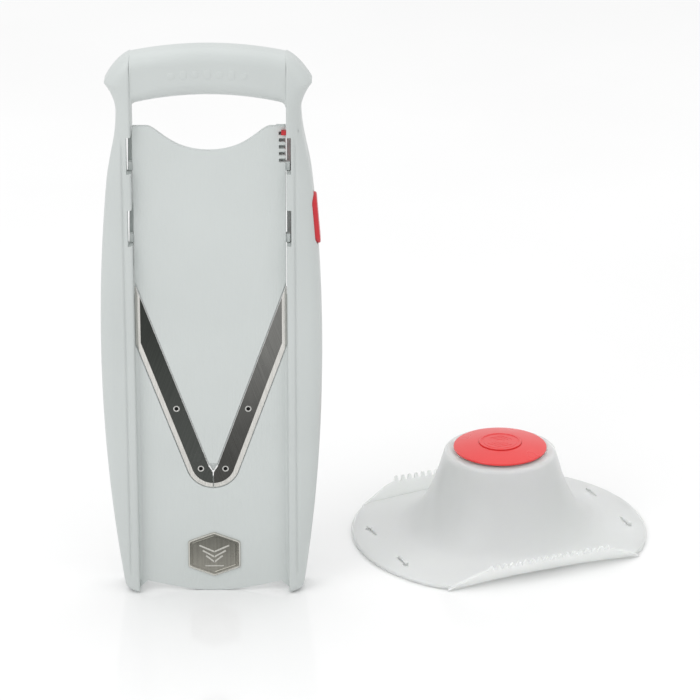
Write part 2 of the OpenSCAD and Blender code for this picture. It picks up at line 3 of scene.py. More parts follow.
import bmesh
import bpy
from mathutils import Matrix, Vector


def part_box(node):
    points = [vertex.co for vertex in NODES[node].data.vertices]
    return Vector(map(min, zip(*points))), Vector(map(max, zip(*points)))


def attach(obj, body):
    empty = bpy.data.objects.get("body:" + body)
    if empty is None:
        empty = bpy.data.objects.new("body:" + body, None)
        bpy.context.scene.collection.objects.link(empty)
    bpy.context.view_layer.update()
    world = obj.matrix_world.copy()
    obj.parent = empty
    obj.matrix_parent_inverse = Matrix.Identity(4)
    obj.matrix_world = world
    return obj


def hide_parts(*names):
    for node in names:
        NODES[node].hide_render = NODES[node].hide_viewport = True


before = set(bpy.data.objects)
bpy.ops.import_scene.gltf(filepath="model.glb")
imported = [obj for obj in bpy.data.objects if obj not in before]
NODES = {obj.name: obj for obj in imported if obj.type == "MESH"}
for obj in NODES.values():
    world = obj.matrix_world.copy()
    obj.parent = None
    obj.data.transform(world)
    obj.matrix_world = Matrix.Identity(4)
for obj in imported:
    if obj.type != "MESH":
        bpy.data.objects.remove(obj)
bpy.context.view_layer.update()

# Sizes are in millimetres until Shape.object(). X is across, -Y is the slicing side, +Z is up.
MM = 0.001


def box_mm(node):
    """Lowest and highest corner of a CAD node, in millimetres."""
    low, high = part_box(node)
    return [c / MM for c in low], [c / MM for c in high]


# ---------------------------------------------------------------- places, read from the frame

RAIL_LOW, RAIL_HIGH = box_mm("right_rail")
GRIP_LOW, GRIP_HIGH = box_mm("handle_grip")
INSERT_LOW, INSERT_HIGH = box_mm("insert_plate")
RACK_LOW, RACK_HIGH = box_mm("thickness_rack")
BLADE_LOW, BLADE_HIGH = box_mm("right_blade")
BADGE_LOW, BADGE_HIGH = box_mm("badge_plate")
BUTTON_LOW, BUTTON_HIGH = box_mm("release_button")
PIN_LOW, PIN_HIGH = box_mm("latch_pivot_pin")
CAP_LOW, CAP_HIGH = box_mm("plunger_cap")
STEM_LOW, STEM_HIGH = box_mm("plunger_stem")

TRACK = RAIL_LOW[0]
FRONT = RAIL_LOW[1]
BACK = RAIL_HIGH[1]
TOP = GRIP_HIGH[2]
WIDE = RAIL_HIGH[0]
DECK_FRONT = INSERT_LOW[1]
DECK_REAR = -DECK_FRONT

# The rails' long arc and shoulder
FOOT_LEAN = 12.5
SIDE_Z = 0.452 * TOP
SIDE_R = SIDE_Z * SIDE_Z / (2 * FOOT_LEAN)
SIDE_CX = WIDE - SIDE_R
NECK_Z = TOP - 85
ROLL_WIDE = 11.0
ROLL_DEEP = 9.0
INNER_WALL = 2.5
OUTER_WALL = 2.0
FOOT_R = 5.5
RIB_T = 2.2

# The grip's ring
GRIP_R = 230.0
GRIP_CZ = TOP - GRIP_R
GRIP_TALL = 30.4
GRIP_CORNER = 9.0

# The V of blades
V_ANGLE = math.radians(19.8)
V_SLOPE = math.tan(V_ANGLE)
V_TIP = 2.8
V_FOOT_Z = 86.4
V_TOP_Z = V_FOOT_Z + (TRACK - V_TIP) / V_SLOPE
SEAT_Z = V_FOOT_Z + 2.7
SEAT_R = 17.0
SEAT_GROOVE = 0.5
BED_OVERHANG = 7.1
BEVEL_BAND = 3.1
RIVET_ZS = (V_FOOT_Z - 1.2, V_FOOT_Z + 40.1)
RIVET_IN = 5.45

# The insert and its rack
INSERT_HALF = RACK_HIGH[0] - 0.2
INSERT_TOP = INSERT_HIGH[2]
SCOOP_HALF = INSERT_HALF - 8.7
SCOOP_DEEP = 15.9
INSERT_LIFT = 2.4
LUG_H = 5.6
LUG_ZS = (V_TOP_Z + 27, INSERT_TOP - 29)
TRAVEL = 17.6
NOTCH_PITCH = 4.4
NOTCH_DEEP = 4.1
NOTCH_H = 2.2

# The food holder, round its own vertical axis
CAP_R = (CAP_HIGH[0] - CAP_LOW[0]) / 2
HOLDER_X = (CAP_HIGH[0] + CAP_LOW[0]) / 2
HOLDER_Y = (CAP_HIGH[1] + CAP_LOW[1]) / 2
HOLDER_YAW = math.radians(22.8)
DOME_H = box_mm("holder_dome")[1][2]
DOME_TOP_R = 37.0
DOME_FOOT_R = 66.0
BRIM_RISE = 7.5
BRIM_R = 98.0
BRIM_CUT = 69.0
LIP_R = 1.5
SHELL_T = 1.6
FLAP_LEAN = math.radians(27)
FLAP_TALL = 17.4
FLAP_T = 1.8
FLAP_ARCH = 4.4
TEETH = 18
TOOTH_PITCH = 4.9
TOOTH_H = 3.6
STEM_R = (STEM_HIGH[0] - STEM_LOW[0]) / 2


# ---------------------------------------------------------------- small maths

def lerp(a, b, t):
    return a + (b - a) * t


def clamp(x, low=0.0, high=1.0):
    return max(low, min(high, x))


def smoothstep(low, high, x):
    t = clamp((x - low) / (high - low))
    return t * t * (3 - 2 * t)


def curve(a, b, c, d, steps):
    """Points of a cubic curve from a to d, without a itself."""
    out = []
    for i in range(1, steps + 1):
        t = i / steps
        s = 1 - t
        out.append(tuple(
            s ** 3 * a[k] + 3 * s * s * t * b[k] + 3 * s * t * t * c[k] + t ** 3 * d[k]
            for k in range(len(a))
        ))
    return out


def arc(cx, cy, r, start, end, steps):
    """Points on an arc, angles in degrees, both ends included."""
    return [
        (cx + r * math.cos(math.radians(lerp(start, end, i / steps))),
         cy + r * math.sin(math.radians(lerp(start, end, i / steps))))
        for i in range(steps + 1)
    ]


def offset(points, d):
    """A closed outline moved inwards by d, each corner along its own mitre."""
    area = sum(
        p[0] * q[1] - q[0] * p[1]
        for p, q in zip(points, points[1:] + points[:1])
    )
    side = 1 if area > 0 else -1
    out = []
    n = len(points)
    for i in range(n):
        p = Vector(points[i])
        before = (p - Vector(points[i - 1])).normalized()
        after = (Vector(points[(i + 1) % n]) - p).normalized()
        normal = Vector((-before.y - after.y, before.x + after.x)) * side
        length = max(normal.length, 0.6)
        out.append(tuple(p + normal.normalized() * (d * 2 / length)))
    return out


# ---------------------------------------------------------------- mesh tools

class Shape:
    """Vertices in millimetres and faces, each face with a material number."""

    def __init__(self):
        self.verts = []
        self.faces = []
        self.slots = []

    def loft(self, loops, slots=None, caps=True):
        """Skin between closed loops that all have the same number of points."""
        n = len(loops[0])
        base = len(self.verts)
        self.verts.extend([v for loop in loops for v in loop])
        for k in range(len(loops) - 1):
            for i in range(n):
                j = (i + 1) % n
                self.faces.append((
                    base + k * n + i, base + k * n + j,
                    base + (k + 1) * n + j, base + (k + 1) * n + i
                ))
                self.slots.append(slots[k] if slots else 0)
        if caps:
            self.faces.append(tuple(base + i for i in range(n)))
            self.slots.append(slots[0] if slots else 0)
            self.faces.append(tuple(base + (len(loops) - 1) * n + i for i in range(n)))
            self.slots.append(slots[-1] if slots else 0)
        return self

    def plate(self, outline, y0, y1, rim=0.4, slots=None):
        """A plate with rounded rims from an outline in X and Z, between two Y values."""
        steps = ((0.0, rim), (0.29 * rim, 0.29 * rim), (rim, 0.0))
        front = [(y0 + a, b) for a, b in steps]
        back = [(y1 - a, b) for a, b in reversed(steps)]
        loops = [
            [(x, y, z) for x, z in (offset(outline, inset) if inset else outline)]
            for y, inset in front + back
        ]
        return self.loft(loops, slots)

    def bar(self, low, high, rim=0.35):
        """A block between two corners with rounded edges."""
        outline = rounded_rectangle(low[0], high[0], low[2], high[2], max(rim, 0.2), 3)
        return self.plate(outline, low[1], high[1], rim)

    def lathe(self, profile, steps=72, centre=(0, 0), axis="Z", closed=True):
        """Turn a profile of (radius, height) about an axis."""
        loops = []
        for i in range(steps):
            a = 2 * math.pi * i / steps
            c = math.cos(a)
            s = math.sin(a)
            loop = [(centre[0] + r * c, centre[1] + r * s, h) for r, h in profile]
            loops.append(loop if axis == "Z" else [(u, h, v) for u, v, h in loop])
        return self.around(loops, closed)

    def around(self, loops, closed=True):
        """Skin round a ring of profiles, the last one joined to the first."""
        base = len(self.verts)
        n = len(loops[0])
        self.verts.extend([v for loop in loops for v in loop])
        for i in range(len(loops)):
            a = base + i * n
            b = base + (i + 1) % len(loops) * n
            for j in range(n if closed else n - 1):
                m = (j + 1) % n
                self.faces.append((a + j, a + m, b + m, b + j))
                self.slots.append(0)
        return self

    def moved(self, function):
        self.verts = [tuple(function(v)) for v in self.verts]
        return self

    def mirrored(self):
        return self.moved(lambda v: (-v[0], v[1], v[2]))

    def join(self, other, slot=None):
        base = len(self.verts)
        self.verts.extend(other.verts)
        self.faces.extend([tuple(base + i for i in f) for f in other.faces])
        self.slots.extend(other.slots if slot is None else [slot] * len(other.faces))
        return self

    def object(self, name):
        mesh = bpy.data.meshes.new(name)
        mesh.from_pydata([tuple(c * MM for c in v) for v in self.verts], [], self.faces)
        mesh.polygons.foreach_set("material_index", self.slots)
        bm = bmesh.new()
        bm.from_mesh(mesh)
        bmesh.ops.remove_doubles(bm, verts=bm.verts, dist=2e-7)
        bmesh.ops.dissolve_degenerate(bm, edges=bm.edges, dist=1e-7)
        bmesh.ops.recalc_face_normals(bm, faces=bm.faces)
        bm.to_mesh(mesh)
        bm.free()
        return put(name, mesh)


def put(name, data):
    obj = bpy.data.objects.new(name, data)
    bpy.context.scene.collection.objects.link(obj)
    return obj


def rounded_rectangle(x0, x1, z0, z1, r, steps=6):
    return (
        arc(x1 - r, z1 - r, r, 0, 90, steps) + arc(x0 + r, z1 - r, r, 90, 180, steps)
        + arc(x0 + r, z0 + r, r, 180, 270, steps) + arc(x1 - r, z0 + r, r, 270, 360, steps)
    )


def apply_modifiers(obj):
    bpy.context.view_layer.update()
    graph = bpy.context.evaluated_depsgraph_get()
    mesh = bpy.data.meshes.new_from_object(obj.evaluated_get(graph))
    obj.modifiers.clear()
    obj.data = mesh


def cut(obj, shapes):
    """Take each shape out of obj."""
    for shape in shapes:
        tool = shape.object("cutter")
        modifier = obj.modifiers.new("cut", "BOOLEAN")
        modifier.operation = "DIFFERENCE"
        modifier.solver = "EXACT"
        modifier.object = tool
        apply_modifiers(obj)
        bpy.data.objects.remove(tool)


def soften(obj, angle=32):
    """Smooth shading, with sharp edges where two faces meet at more than angle degrees."""
    bm = bmesh.new()
    bm.from_mesh(obj.data)
    limit = math.radians(angle)
    for f in bm.faces:
        f.smooth = True
    for e in bm.edges:
        e.smooth = len(e.link_faces) == 2 and e.calc_face_angle(0) < limit
    bm.to_mesh(obj.data)
    bm.free()
    weighted = obj.modifiers.new("weighted_normals", "WEIGHTED_NORMAL")
    weighted.keep_sharp = True
    weighted.weight = 60


def make(name, shape, body, materials, replaces=(), cuts=(), angle=32):
    """One finished piece: its mesh, its materials, the body it rides on and what it stands for."""
    obj = shape.object(name)
    for m in materials:
        obj.data.materials.append(m)
    if cuts:
        cut(obj, cuts)
    soften(obj, angle)
    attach(obj, body)
    if replaces:
        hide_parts(*replaces)


# ---------------------------------------------------------------- materials

class Nodes:
    """A material's node tree, with its Principled shader."""

    def __init__(self, name):
        self.material = bpy.data.materials.new(name)
        self.material.use_nodes = True
        self.tree = self.material.node_tree
        self.shader = self.tree.nodes["Principled BSDF"]
        self.place = self.new("ShaderNodeTexCoord").outputs["Object"]

    def new(self, kind, values=(), **settings):
        """A node with its settings, and with plain values in its sockets."""
        node = self.tree.nodes.new(kind)
        for key, value in settings.items():
            setattr(node, key, value)
        for key, value in values:
            node.inputs[key].default_value = value
        return node

    def link(self, a, b):
        self.tree.links.new(a, b)

    def scaled(self, scale, turn=0.0):
        """The piece's own coordinates, turned about Y and then scaled."""
        source = self.place
        if turn:
            rotate = self.new("ShaderNodeVectorRotate", [("Angle", turn)], rotation_type="Y_AXIS")
            self.link(source, rotate.inputs["Vector"])
            source = rotate.outputs["Vector"]
        mapping = self.new("ShaderNodeMapping", [("Scale", scale)], vector_type="POINT")
        self.link(source, mapping.inputs["Vector"])
        return mapping.outputs["Vector"]

    def noise(self, scale, detail=3.0, rough=0.5, vector=None):
        values = [("Scale", scale), ("Detail", detail), ("Roughness", rough)]
        node = self.new("ShaderNodeTexNoise", values)
        self.link(vector or self.place, node.inputs["Vector"])
        return node.outputs["Fac"]

    def ramp(self, source, stops):
        node = self.new("ShaderNodeValToRGB")
        node.color_ramp.interpolation = "EASE"
        elements = node.color_ramp.elements
        while len(elements) < len(stops):
            elements.new(0.5)
        for element, (place, value) in zip(elements, stops):
            element.position = place
            element.color = value if len(value) == 4 else (*value, 1.0)
        self.link(source, node.inputs["Fac"])
        return node.outputs["Color"]

    def span(self, source, low, high, start=0.3, end=0.7):
        """A number from low to high as source goes from start to end."""
        values = [("From Min", start), ("From Max", end), ("To Min", low), ("To Max", high)]
        node = self.new("ShaderNodeMapRange", values, interpolation_type="SMOOTHSTEP")
        self.link(source, node.inputs["Value"])
        return node.outputs["Result"]

    def bump(self, source, height_mm, before=None):
        node = self.new("ShaderNodeBump", [("Strength", 1.0), ("Distance", height_mm * MM)])
        self.link(source, node.inputs["Height"])
        if before:
            self.link(before, node.inputs["Normal"])
        return node.outputs["Normal"]

    def mix(self, factor, a, b, blend="MIX"):
        node = self.new("ShaderNodeMix", data_type="RGBA", blend_type=blend)
        for value, socket in ((factor, node.inputs[0]), (a, node.inputs[6]), (b, node.inputs[7])):
            if hasattr(value, "is_linked"):
                self.link(value, socket)
            elif isinstance(value, tuple):
                socket.default_value = (*value, 1.0)
            else:
                socket.default_value = value
        return node.outputs[2]


def shade(colour, factor):
    return tuple(clamp(c * factor) for c in colour)


def moulded_plastic(name, colour, rough, coat=0.0, ribs=False, wear=0.06):
    """Satin plastic: cloudy colour, fine grain, worn gloss and hair scratches."""
    n = Nodes(name)
    cloud = n.noise(14, 2, 0.45)
    tint = n.ramp(cloud, [(0.2, shade(colour, 0.97)), (0.8, shade(colour, 1.02))])
    speck = n.span(n.noise(1100, 1, 0.5), 0.05, 0, 0.2, 0.36)
    tint = n.mix(speck, tint, shade(colour, 0.8))
    scratch = n.noise(1.0, 2, 0.6, n.scaled((1400, 1400, 30), 0.35))
    scuff = n.span(scratch, 0, 0.4, 0.70, 0.80)
    edge = n.new("ShaderNodeNewGeometry").outputs["Pointiness"]
    worn = n.span(edge, 0, wear, 0.52, 0.62)
    n.link(n.mix(worn, tint, shade(colour, 1.16)), n.shader.inputs["Base Color"])
    gloss = n.span(n.noise(45, 2, 0.45), rough - 0.05, rough + 0.07, 0.15, 0.85)
    n.link(n.mix(scuff, gloss, (rough + 0.2,) * 3), n.shader.inputs["Roughness"])
    grain = n.bump(n.noise(1500, 2, 0.6), 0.006)
    if ribs:
        values = [("Scale", 190), ("Distortion", 0)]
        bands = {"wave_type": "BANDS", "bands_direction": "X", "wave_profile": "SIN"}
        wave = n.new("ShaderNodeTexWave", values, **bands)
        n.link(n.place, wave.inputs["Vector"])
        grain = n.bump(wave.outputs["Fac"], 0.035, grain)
    n.link(grain, n.shader.inputs["Normal"])
    n.shader.inputs["IOR"].default_value = 1.5
    n.shader.inputs["Specular IOR Level"].default_value = 0.5
    n.shader.inputs["Coat Weight"].default_value = coat
    n.shader.inputs["Coat Roughness"].default_value = 0.12
    return n.material


def brushed_steel(name, dark, light, rough, turn=0.0, low_z=0.0, high_z=400.0):
    """Ground steel: fine lines along the piece, and a painted reflection: the colour fades from dark at
    low_z to light at high_z, so most pieces are brighter towards their upper end.
    """
    n = Nodes(name)
    lines = n.noise(1.0, 3, 0.65, n.scaled((2600, 2600, 18), turn))
    split = n.new("ShaderNodeSeparateXYZ")
    n.link(n.place, split.inputs["Vector"])
    # Painted reflection: this colour ramp follows height, as the light falls, not the steel itself.
    rise = n.span(split.outputs["Z"], 0, 1, low_z * MM, high_z * MM)
    base = n.mix(rise, dark, light)
    streak = n.span(lines, 0.86, 1.16)
    n.link(n.mix(1.0, base, streak, "MULTIPLY"), n.shader.inputs["Base Color"])
    cloud = n.noise(45, 3, 0.5)
    n.link(n.span(cloud, rough - 0.06, rough + 0.08), n.shader.inputs["Roughness"])
    n.link(n.bump(lines, 0.004), n.shader.inputs["Normal"])
    n.shader.inputs["Metallic"].default_value = 1.0
    return n.material


def milky_plastic(name, colour, alpha, rough):
    """Thin translucent plastic: light passes into it, with soft flow marks and a fine grain."""
    n = Nodes(name)
    flow = n.noise(9, 1.5, 0.4)
    tint = n.ramp(flow, [(0.15, shade(colour, 0.975)), (0.85, shade(colour, 1.02))])
    n.link(tint, n.shader.inputs["Base Color"])
    gloss = n.span(n.noise(40, 1.5, 0.4), rough - 0.04, rough + 0.06, 0.1, 0.9)
    n.link(gloss, n.shader.inputs["Roughness"])
    n.link(n.bump(n.noise(700, 2, 0.5), 0.005), n.shader.inputs["Normal"])
    n.shader.inputs["Alpha"].default_value = alpha
    n.shader.inputs["IOR"].default_value = 1.49
    n.shader.inputs["Subsurface Weight"].default_value = 0.9
    n.shader.inputs["Subsurface Radius"].default_value = (1.0, 1.0, 0.95)
    n.shader.inputs["Subsurface Scale"].default_value = 5 * MM
    return n.material


GREY = (0.60, 0.635, 0.625)
RED = (0.76, 0.035, 0.035)
MILKY = (0.90, 0.93, 0.91)

FRAME_PLASTIC = moulded_plastic("frame_plastic", shade(GREY, 0.92), 0.42)
RIBBED_PLASTIC = moulded_plastic("ribbed_plastic", shade(GREY, 0.98), 0.40, ribs=True)
CAP_RED = moulded_plastic("cap_red", RED, 0.30, coat=0.25, wear=0.03)
LATCH_RED = moulded_plastic("latch_red", (0.56, 0.02, 0.03), 0.34, wear=0.03)
SHELL_PLASTIC = milky_plastic("shell_plastic", MILKY, 0.58, 0.34)
# Painted shade: a darker copy of the milky plastic for the parts inside the holder, as shade seen through
# the shell.
INNER_PLASTIC_PAINTED_SHADE = milky_plastic("inner_plastic_painted_shade", shade(MILKY, 0.74), 0.50, 0.36)
# Painted reflection: the two blades are one steel, yet the left one darkens towards its top and the right
# one lightens, as the light falls on each.
LEFT_STEEL_PAINTED_REFLECTION = brushed_steel(
    "left_blade_steel_painted_reflection", (0.075, 0.08, 0.075), (0.04, 0.044, 0.04), 0.30, -V_ANGLE, 90, 200)
RIGHT_STEEL_PAINTED_REFLECTION = brushed_steel(
    "right_blade_steel_painted_reflection", (0.07, 0.07, 0.066), (0.20, 0.20, 0.19), 0.30, V_ANGLE, 90, 200)
# The bevel, bright and rim steels also fade slightly brighter with height: painted light.
BEVEL_STEEL = brushed_steel("bevel_steel", (0.62, 0.61, 0.58), (0.66, 0.65, 0.62), 0.20, 0.0)
BRIGHT_STEEL = brushed_steel("bright_steel", (0.50, 0.50, 0.48), (0.58, 0.58, 0.56), 0.24)
# Painted shade: the rivets' shallow bores get a near-black steel for the shade down a hollow.
BORE_PAINTED_SHADE = brushed_steel("bore_painted_shade", (0.015, 0.015, 0.015), (0.02, 0.02, 0.02), 0.5)
# Painted reflection: the badge's inner field darkens towards its upper edge.
BADGE_METAL_PAINTED_REFLECTION = brushed_steel("badge_metal_painted_reflection", (0.30, 0.29, 0.255), (0.15, 0.148, 0.13), 0.22, 0.0, 10, 42)
BADGE_RIM = brushed_steel("badge_rim", (0.55, 0.54, 0.50), (0.60, 0.59, 0.56), 0.16)


# ---------------------------------------------------------------- rails

NECK_W = SIDE_CX + math.sqrt(SIDE_R ** 2 - (NECK_Z - SIDE_Z) ** 2) - TRACK
WAIST = (9.1, TOP - 40.5)
SHOULDER = (15.9, TOP - 22.8)
SHOULDER_END = (0.0, TOP - 5)
UPPER_EDGE = (
    [(NECK_W, NECK_Z)]
    + curve((NECK_W, NECK_Z), (NECK_W - 1.7, NECK_Z + 15), (WAIST[0], WAIST[1] - 18), WAIST, 20)
    + curve(WAIST, (WAIST[0], WAIST[1] + 6.5), (SHOULDER[0] - 3.4, SHOULDER[1] - 4.2), SHOULDER, 16)
    + curve(SHOULDER, (SHOULDER[0] - 0.7, SHOULDER[1] + 3.3), (8.4, TOP - 8.5), SHOULDER_END, 28)
)


def rail_width(z):
    """How far the rail reaches beyond the track at a height."""
    if z <= NECK_Z:
        w = SIDE_CX + math.sqrt(SIDE_R ** 2 - (z - SIDE_Z) ** 2) - TRACK
        if z < FOOT_R:
            w -= FOOT_R - math.sqrt(max(FOOT_R ** 2 - (FOOT_R - z) ** 2, 0))
        return w
    for (w0, z0), (w1, z1) in zip(UPPER_EDGE, UPPER_EDGE[1:]):
        if z0 <= z <= z1:
            return lerp(w0, w1, (z - z0) / max(z1 - z0, 1e-6))
    return 0.0


def rail_height(s):
    """Height of the shoulder's upper edge at a distance s beyond the track."""
    last = len(UPPER_EDGE) - 28
    for (w0, z0), (w1, z1) in zip(UPPER_EDGE[last - 1:], UPPER_EDGE[last:]):
        if w1 <= s <= w0:
            return lerp(z0, z1, (s - w0) / min(w1 - w0, -1e-6))
    return SHOULDER[1] if s > SHOULDER[0] else SHOULDER_END[1]


def edge_distance(s, z):
    """How far a point of the rail's front view lies inside its outer edge."""
    across = max(rail_width(z) - s, 0.0)
    up = max(rail_height(s) - z, 0.0)
    return across * up / math.hypot(across, up) if across + up > 0 else 0.0


def rail_rear(s, z):
    """The rail's rear face, flat but for the top of the shoulder, which rolls off like the grip."""
    d = edge_distance(s, z)
    y = BACK
    if d < GRIP_CORNER:
        roll = GRIP_CORNER * (1 - math.sqrt(max(1 - (1 - d / GRIP_CORNER) ** 2, 0)))
        y -= roll * smoothstep(TOP - 32, TOP - 16, z)
    return y


def rail_front(s, z):
    """The rail's front face: a guide bead, a shallow valley and a crown that rolls off to the side."""
    d = edge_distance(s, z)
    y = FRONT
    if d < ROLL_WIDE:
        y += ROLL_DEEP * (1 - math.sqrt(max(1 - (1 - d / ROLL_WIDE) ** 2, 0)))
    fade = 1 - smoothstep(TOP - 62, TOP - 54, z)
    foot = smoothstep(8, 16, z)
    y += 0.95 * fade * foot * math.exp(-((s - 5.5) / 0.85) ** 2)
    y += 0.35 * foot * smoothstep(6, 11, s) * (1 - smoothstep(11, 15, s)) * fade
    if z < 2.5:
        y += 2.5 - math.sqrt(max(2.5 ** 2 - (2.5 - z) ** 2, 0))
    return y


def rail_loop(z):
    w = max(rail_width(z), 0.02)
    squeeze = min(1.0, w / 9.0)
    inner = 1.6 - math.sqrt(max(1.6 ** 2 - (1.6 - z) ** 2, 0)) if z < 1.6 else 0.0
    stops = [0.0, 0.3, 0.8, 1.6, 2.6, 3.6, 4.2, 4.7, 5.1, 5.5, 5.9, 6.3, 6.9, 7.8]
    stops = [s * squeeze for s in stops]
    flat = max(w - ROLL_WIDE, stops[-1])
    rest = w - flat
    stops += [flat + rest * math.sin(math.radians(a)) for a in (8, 18, 28, 38, 48, 58, 67, 75, 82, 87, 90)]
    round_in = [1.4, 0.6, 0.18, 0.0]
    front = []
    for i, s in enumerate(stops):
        y = rail_front(s, z) + (round_in[i] * squeeze if i < len(round_in) else 0)
        front.append((s, y))
    y_front = front[-1][1]
    y_rear = rail_rear(w, z) - 0.8
    side = [(w, lerp(y_front, y_rear, t)) for t in (0.2, 0.45, 0.75, 1.0)]
    side.append((w - 0.24 * squeeze, rail_rear(w - 0.24 * squeeze, z) - 0.24))
    across = [w * k for k in (0.88, 0.8, 0.7, 0.58, 0.45, 0.32, 0.2)]
    across = [w - 0.8 * squeeze] + across + [0.7 * squeeze]
    back = [(s, rail_rear(s, z)) for s in across]
    y_inner = rail_rear(0, z)
    back += [(0.2 * squeeze, y_inner - 0.2), (0.0, y_inner - 0.7), (0.0, lerp(y_inner, 0, 0.4)), (0.0, 2.0)]
    loop = front + side + back
    return [(TRACK + lerp(inner, w, s / w), y, z) for s, y in loop]


def rail_stations():
    low = [0.0, 0.25, 0.7, 1.3, 2.1, 3.1, 4.3, 5.5, 7, 9, 11, 13, 16]
    middle = [16 + (NECK_Z - 16) * i / 26 for i in range(1, 27)]
    upper = [z for _, z in UPPER_EDGE[1:]]
    return low + middle + upper


def pocket(low, high, deep=True):
    """A moulding hollow in the rail between two heights, flared where it opens at the back."""
    zs = [lerp(low, high, i / 10) for i in range(11)]

    def outline(extra, flare):
        outer = []
        for i, z in enumerate(zs):
            z += -flare if i == 0 else flare if i == 10 else 0
            reach = max(rail_width(z) - OUTER_WALL - extra, INNER_WALL + 0.3)
            outer.append((TRACK + reach + flare, z))
        inner = [(TRACK + INNER_WALL - flare, high + flare), (TRACK + INNER_WALL - flare, low - flare)]
        return outer + inner

    levels = [(1.6, 1.2, 0), (3.5, 0.4, 0), (6, 0, 0)]
    levels += [(BACK - 0.8, 0, 0), (BACK - 0.2, 0, 0.2), (BACK + 1, 0, 0.7)]
    if deep:
        levels = [(-5.2, 7.6, 0), (-2.0, 4.2, 0)] + levels
    loops = []
    for y, extra, flare in levels:
        loops.append([(x, y, z) for x, z in outline(extra, flare)])
    return Shape().loft(loops)


def lug_window(z):
    """Slot through the inner wall, its back edge sloping so that the insert sinks as it rises."""
    low = z - 0.25
    high = z + LUG_H + TRAVEL + 0.25
    rear = 3.75
    section = [(FRONT - 2, low), (rear, low), (rear + 7, low + TRAVEL), (rear + 7, high), (FRONT - 2, high)]
    return Shape().loft([[(x, y, h) for y, h in section] for x in (TRACK - 2, TRACK + INNER_WALL + 0.4)])


def button_slot():
    """Stadium-shaped way out for the release button through the rail's side."""
    low = (BUTTON_LOW[1] - 0.35, BUTTON_LOW[2] - 1.2)
    high = (BUTTON_HIGH[1] + 0.35, BUTTON_HIGH[2] + 0.6)
    section = rounded_rectangle(low[0], high[0], low[1], high[1], 7.0, 10)
    return Shape().loft([[(x, y, z) for y, z in section] for x in (TRACK + 3.5, WIDE + 9)])


def box_shape(low, high):
    corners = [(low[0], low[1]), (high[0], low[1]), (high[0], high[1]), (low[0], high[1])]
    return Shape().loft([[(x, y, z) for x, y in corners] for z in (low[2], high[2])])


def rail_cuts():
    first = 9.0
    count = 5
    latch_low = (PIN_LOW[2] + PIN_HIGH[2]) / 2 - 59
    latch_high = TOP - 41
    pitch = (latch_low - first) / count
    cuts = [pocket(first + i * pitch, first + (i + 1) * pitch - RIB_T) for i in range(count)]
    cuts.append(pocket(latch_low, latch_high, deep=False))
    cuts.append(pocket(latch_high + RIB_T, TOP - 14, deep=False))
    cuts += [lug_window(z) for z in LUG_ZS]
    return cuts


def frame_piece(name, shape, replaces=(), cuts=(), angle=32, material=FRAME_PLASTIC):
    make(name, shape, "frame", [material], replaces, cuts, angle)


def build_rails():
    for side, name in ((1, "right_rail"), (-1, "left_rail")):
        shape = Shape().loft([rail_loop(z) for z in rail_stations()])
        cuts = rail_cuts()
        if side > 0:
            pawl_z = INSERT_TOP - 4.9
            cuts.append(button_slot())
            # Room for the pawl, then the slit through the inner wall for its tip
            cuts.append(box_shape((TRACK + 2.45, -4.7, pawl_z - 6), (TRACK + 7.5, 6.0, pawl_z + 3.8)))
            cuts.append(box_shape((TRACK - 1, -4.7, pawl_z - 0.8), (TRACK + 2.6, 9, pawl_z + 4.2)))
        else:
            shape.mirrored()
            cuts = [c.mirrored() for c in cuts]
        frame_piece(name + "_moulding", shape, [name], cuts, 38)


# ---------------------------------------------------------------- grip

def grip_section(x, inset, back, n=10):
    """Rounded section of the grip's bar at x, as (y, z) points."""
    high = GRIP_CZ + math.sqrt((GRIP_R - inset) ** 2 - x * x)
    low = GRIP_CZ + math.sqrt((GRIP_R - GRIP_TALL + inset) ** 2 - x * x)
    near = TRACK - 3.5
    if inset == 0 and abs(x) > near:
        low -= 3.5 - math.sqrt(max(3.5 ** 2 - (min(abs(x), TRACK) - near) ** 2, 0))
    y0 = GRIP_LOW[1] + inset
    r = GRIP_CORNER - inset
    points = arc(y0 + r, high - r, r, 180, 90, n)
    points += [(lerp(y0 + r, back - r, t), high) for t in (0.33, 0.67)]
    points += arc(back - r, high - r, r, 90, 0, n)
    points += [(back, lerp(high - r, low + r, t)) for t in (0.33, 0.67)]
    points += arc(back - r, low + r, r, 0, -90, n)
    points += [(lerp(back - r, y0 + r, t), low) for t in (0.33, 0.67)]
    points += arc(y0 + r, low + r, r, -90, -180, n)
    points += [(y0, lerp(low + r, high - r, t)) for t in (0.12, 0.25, 0.38, 0.5, 0.62, 0.75, 0.88)]
    return points, low, high


def grip_loop(x):
    """The section with a shallow raised field on its front, above a soft ledge that follows the bar."""
    points, low, high = grip_section(x, 0, GRIP_HIGH[1])
    loop = []
    for y, z in points:
        up = (z - low) / (high - low)
        if y < 4:
            field = smoothstep(0.20, 0.30, up) * (1 - smoothstep(0.9, 1.0, up))
            field *= 1 - smoothstep(30, 40, abs(x))
            sunk = 0.45 * (1 - field)
            y += sunk * (1 - smoothstep(-3, 4, y))
        loop.append((x, y, z))
    return loop


def relief_mark(x, height, along, tall, proud):
    """A small raised lozenge on the grip's front, at a height above the bar's lower edge."""
    base = GRIP_CZ + math.sqrt((GRIP_R - GRIP_TALL) ** 2 - x * x)
    z = base + height
    c = math.cos(-x / GRIP_R)
    s = math.sin(-x / GRIP_R)
    loops = []
    for size, depth in ((1.0, -0.6), (1.0, 0.1 * proud), (0.8, 0.75 * proud), (0.4, proud)):
        y = GRIP_LOW[1] - depth
        loop = []
        for i in range(16):
            a = 2 * math.pi * i / 16
            u = along / 2 * size * math.copysign(abs(math.cos(a)) ** 0.8, math.cos(a))
            v = tall / 2 * size * math.copysign(abs(math.sin(a)) ** 0.8, math.sin(a))
            loop.append((x + u * c - v * s, y, z + u * s + v * c))
        loops.append(loop)
    return Shape().loft(loops)


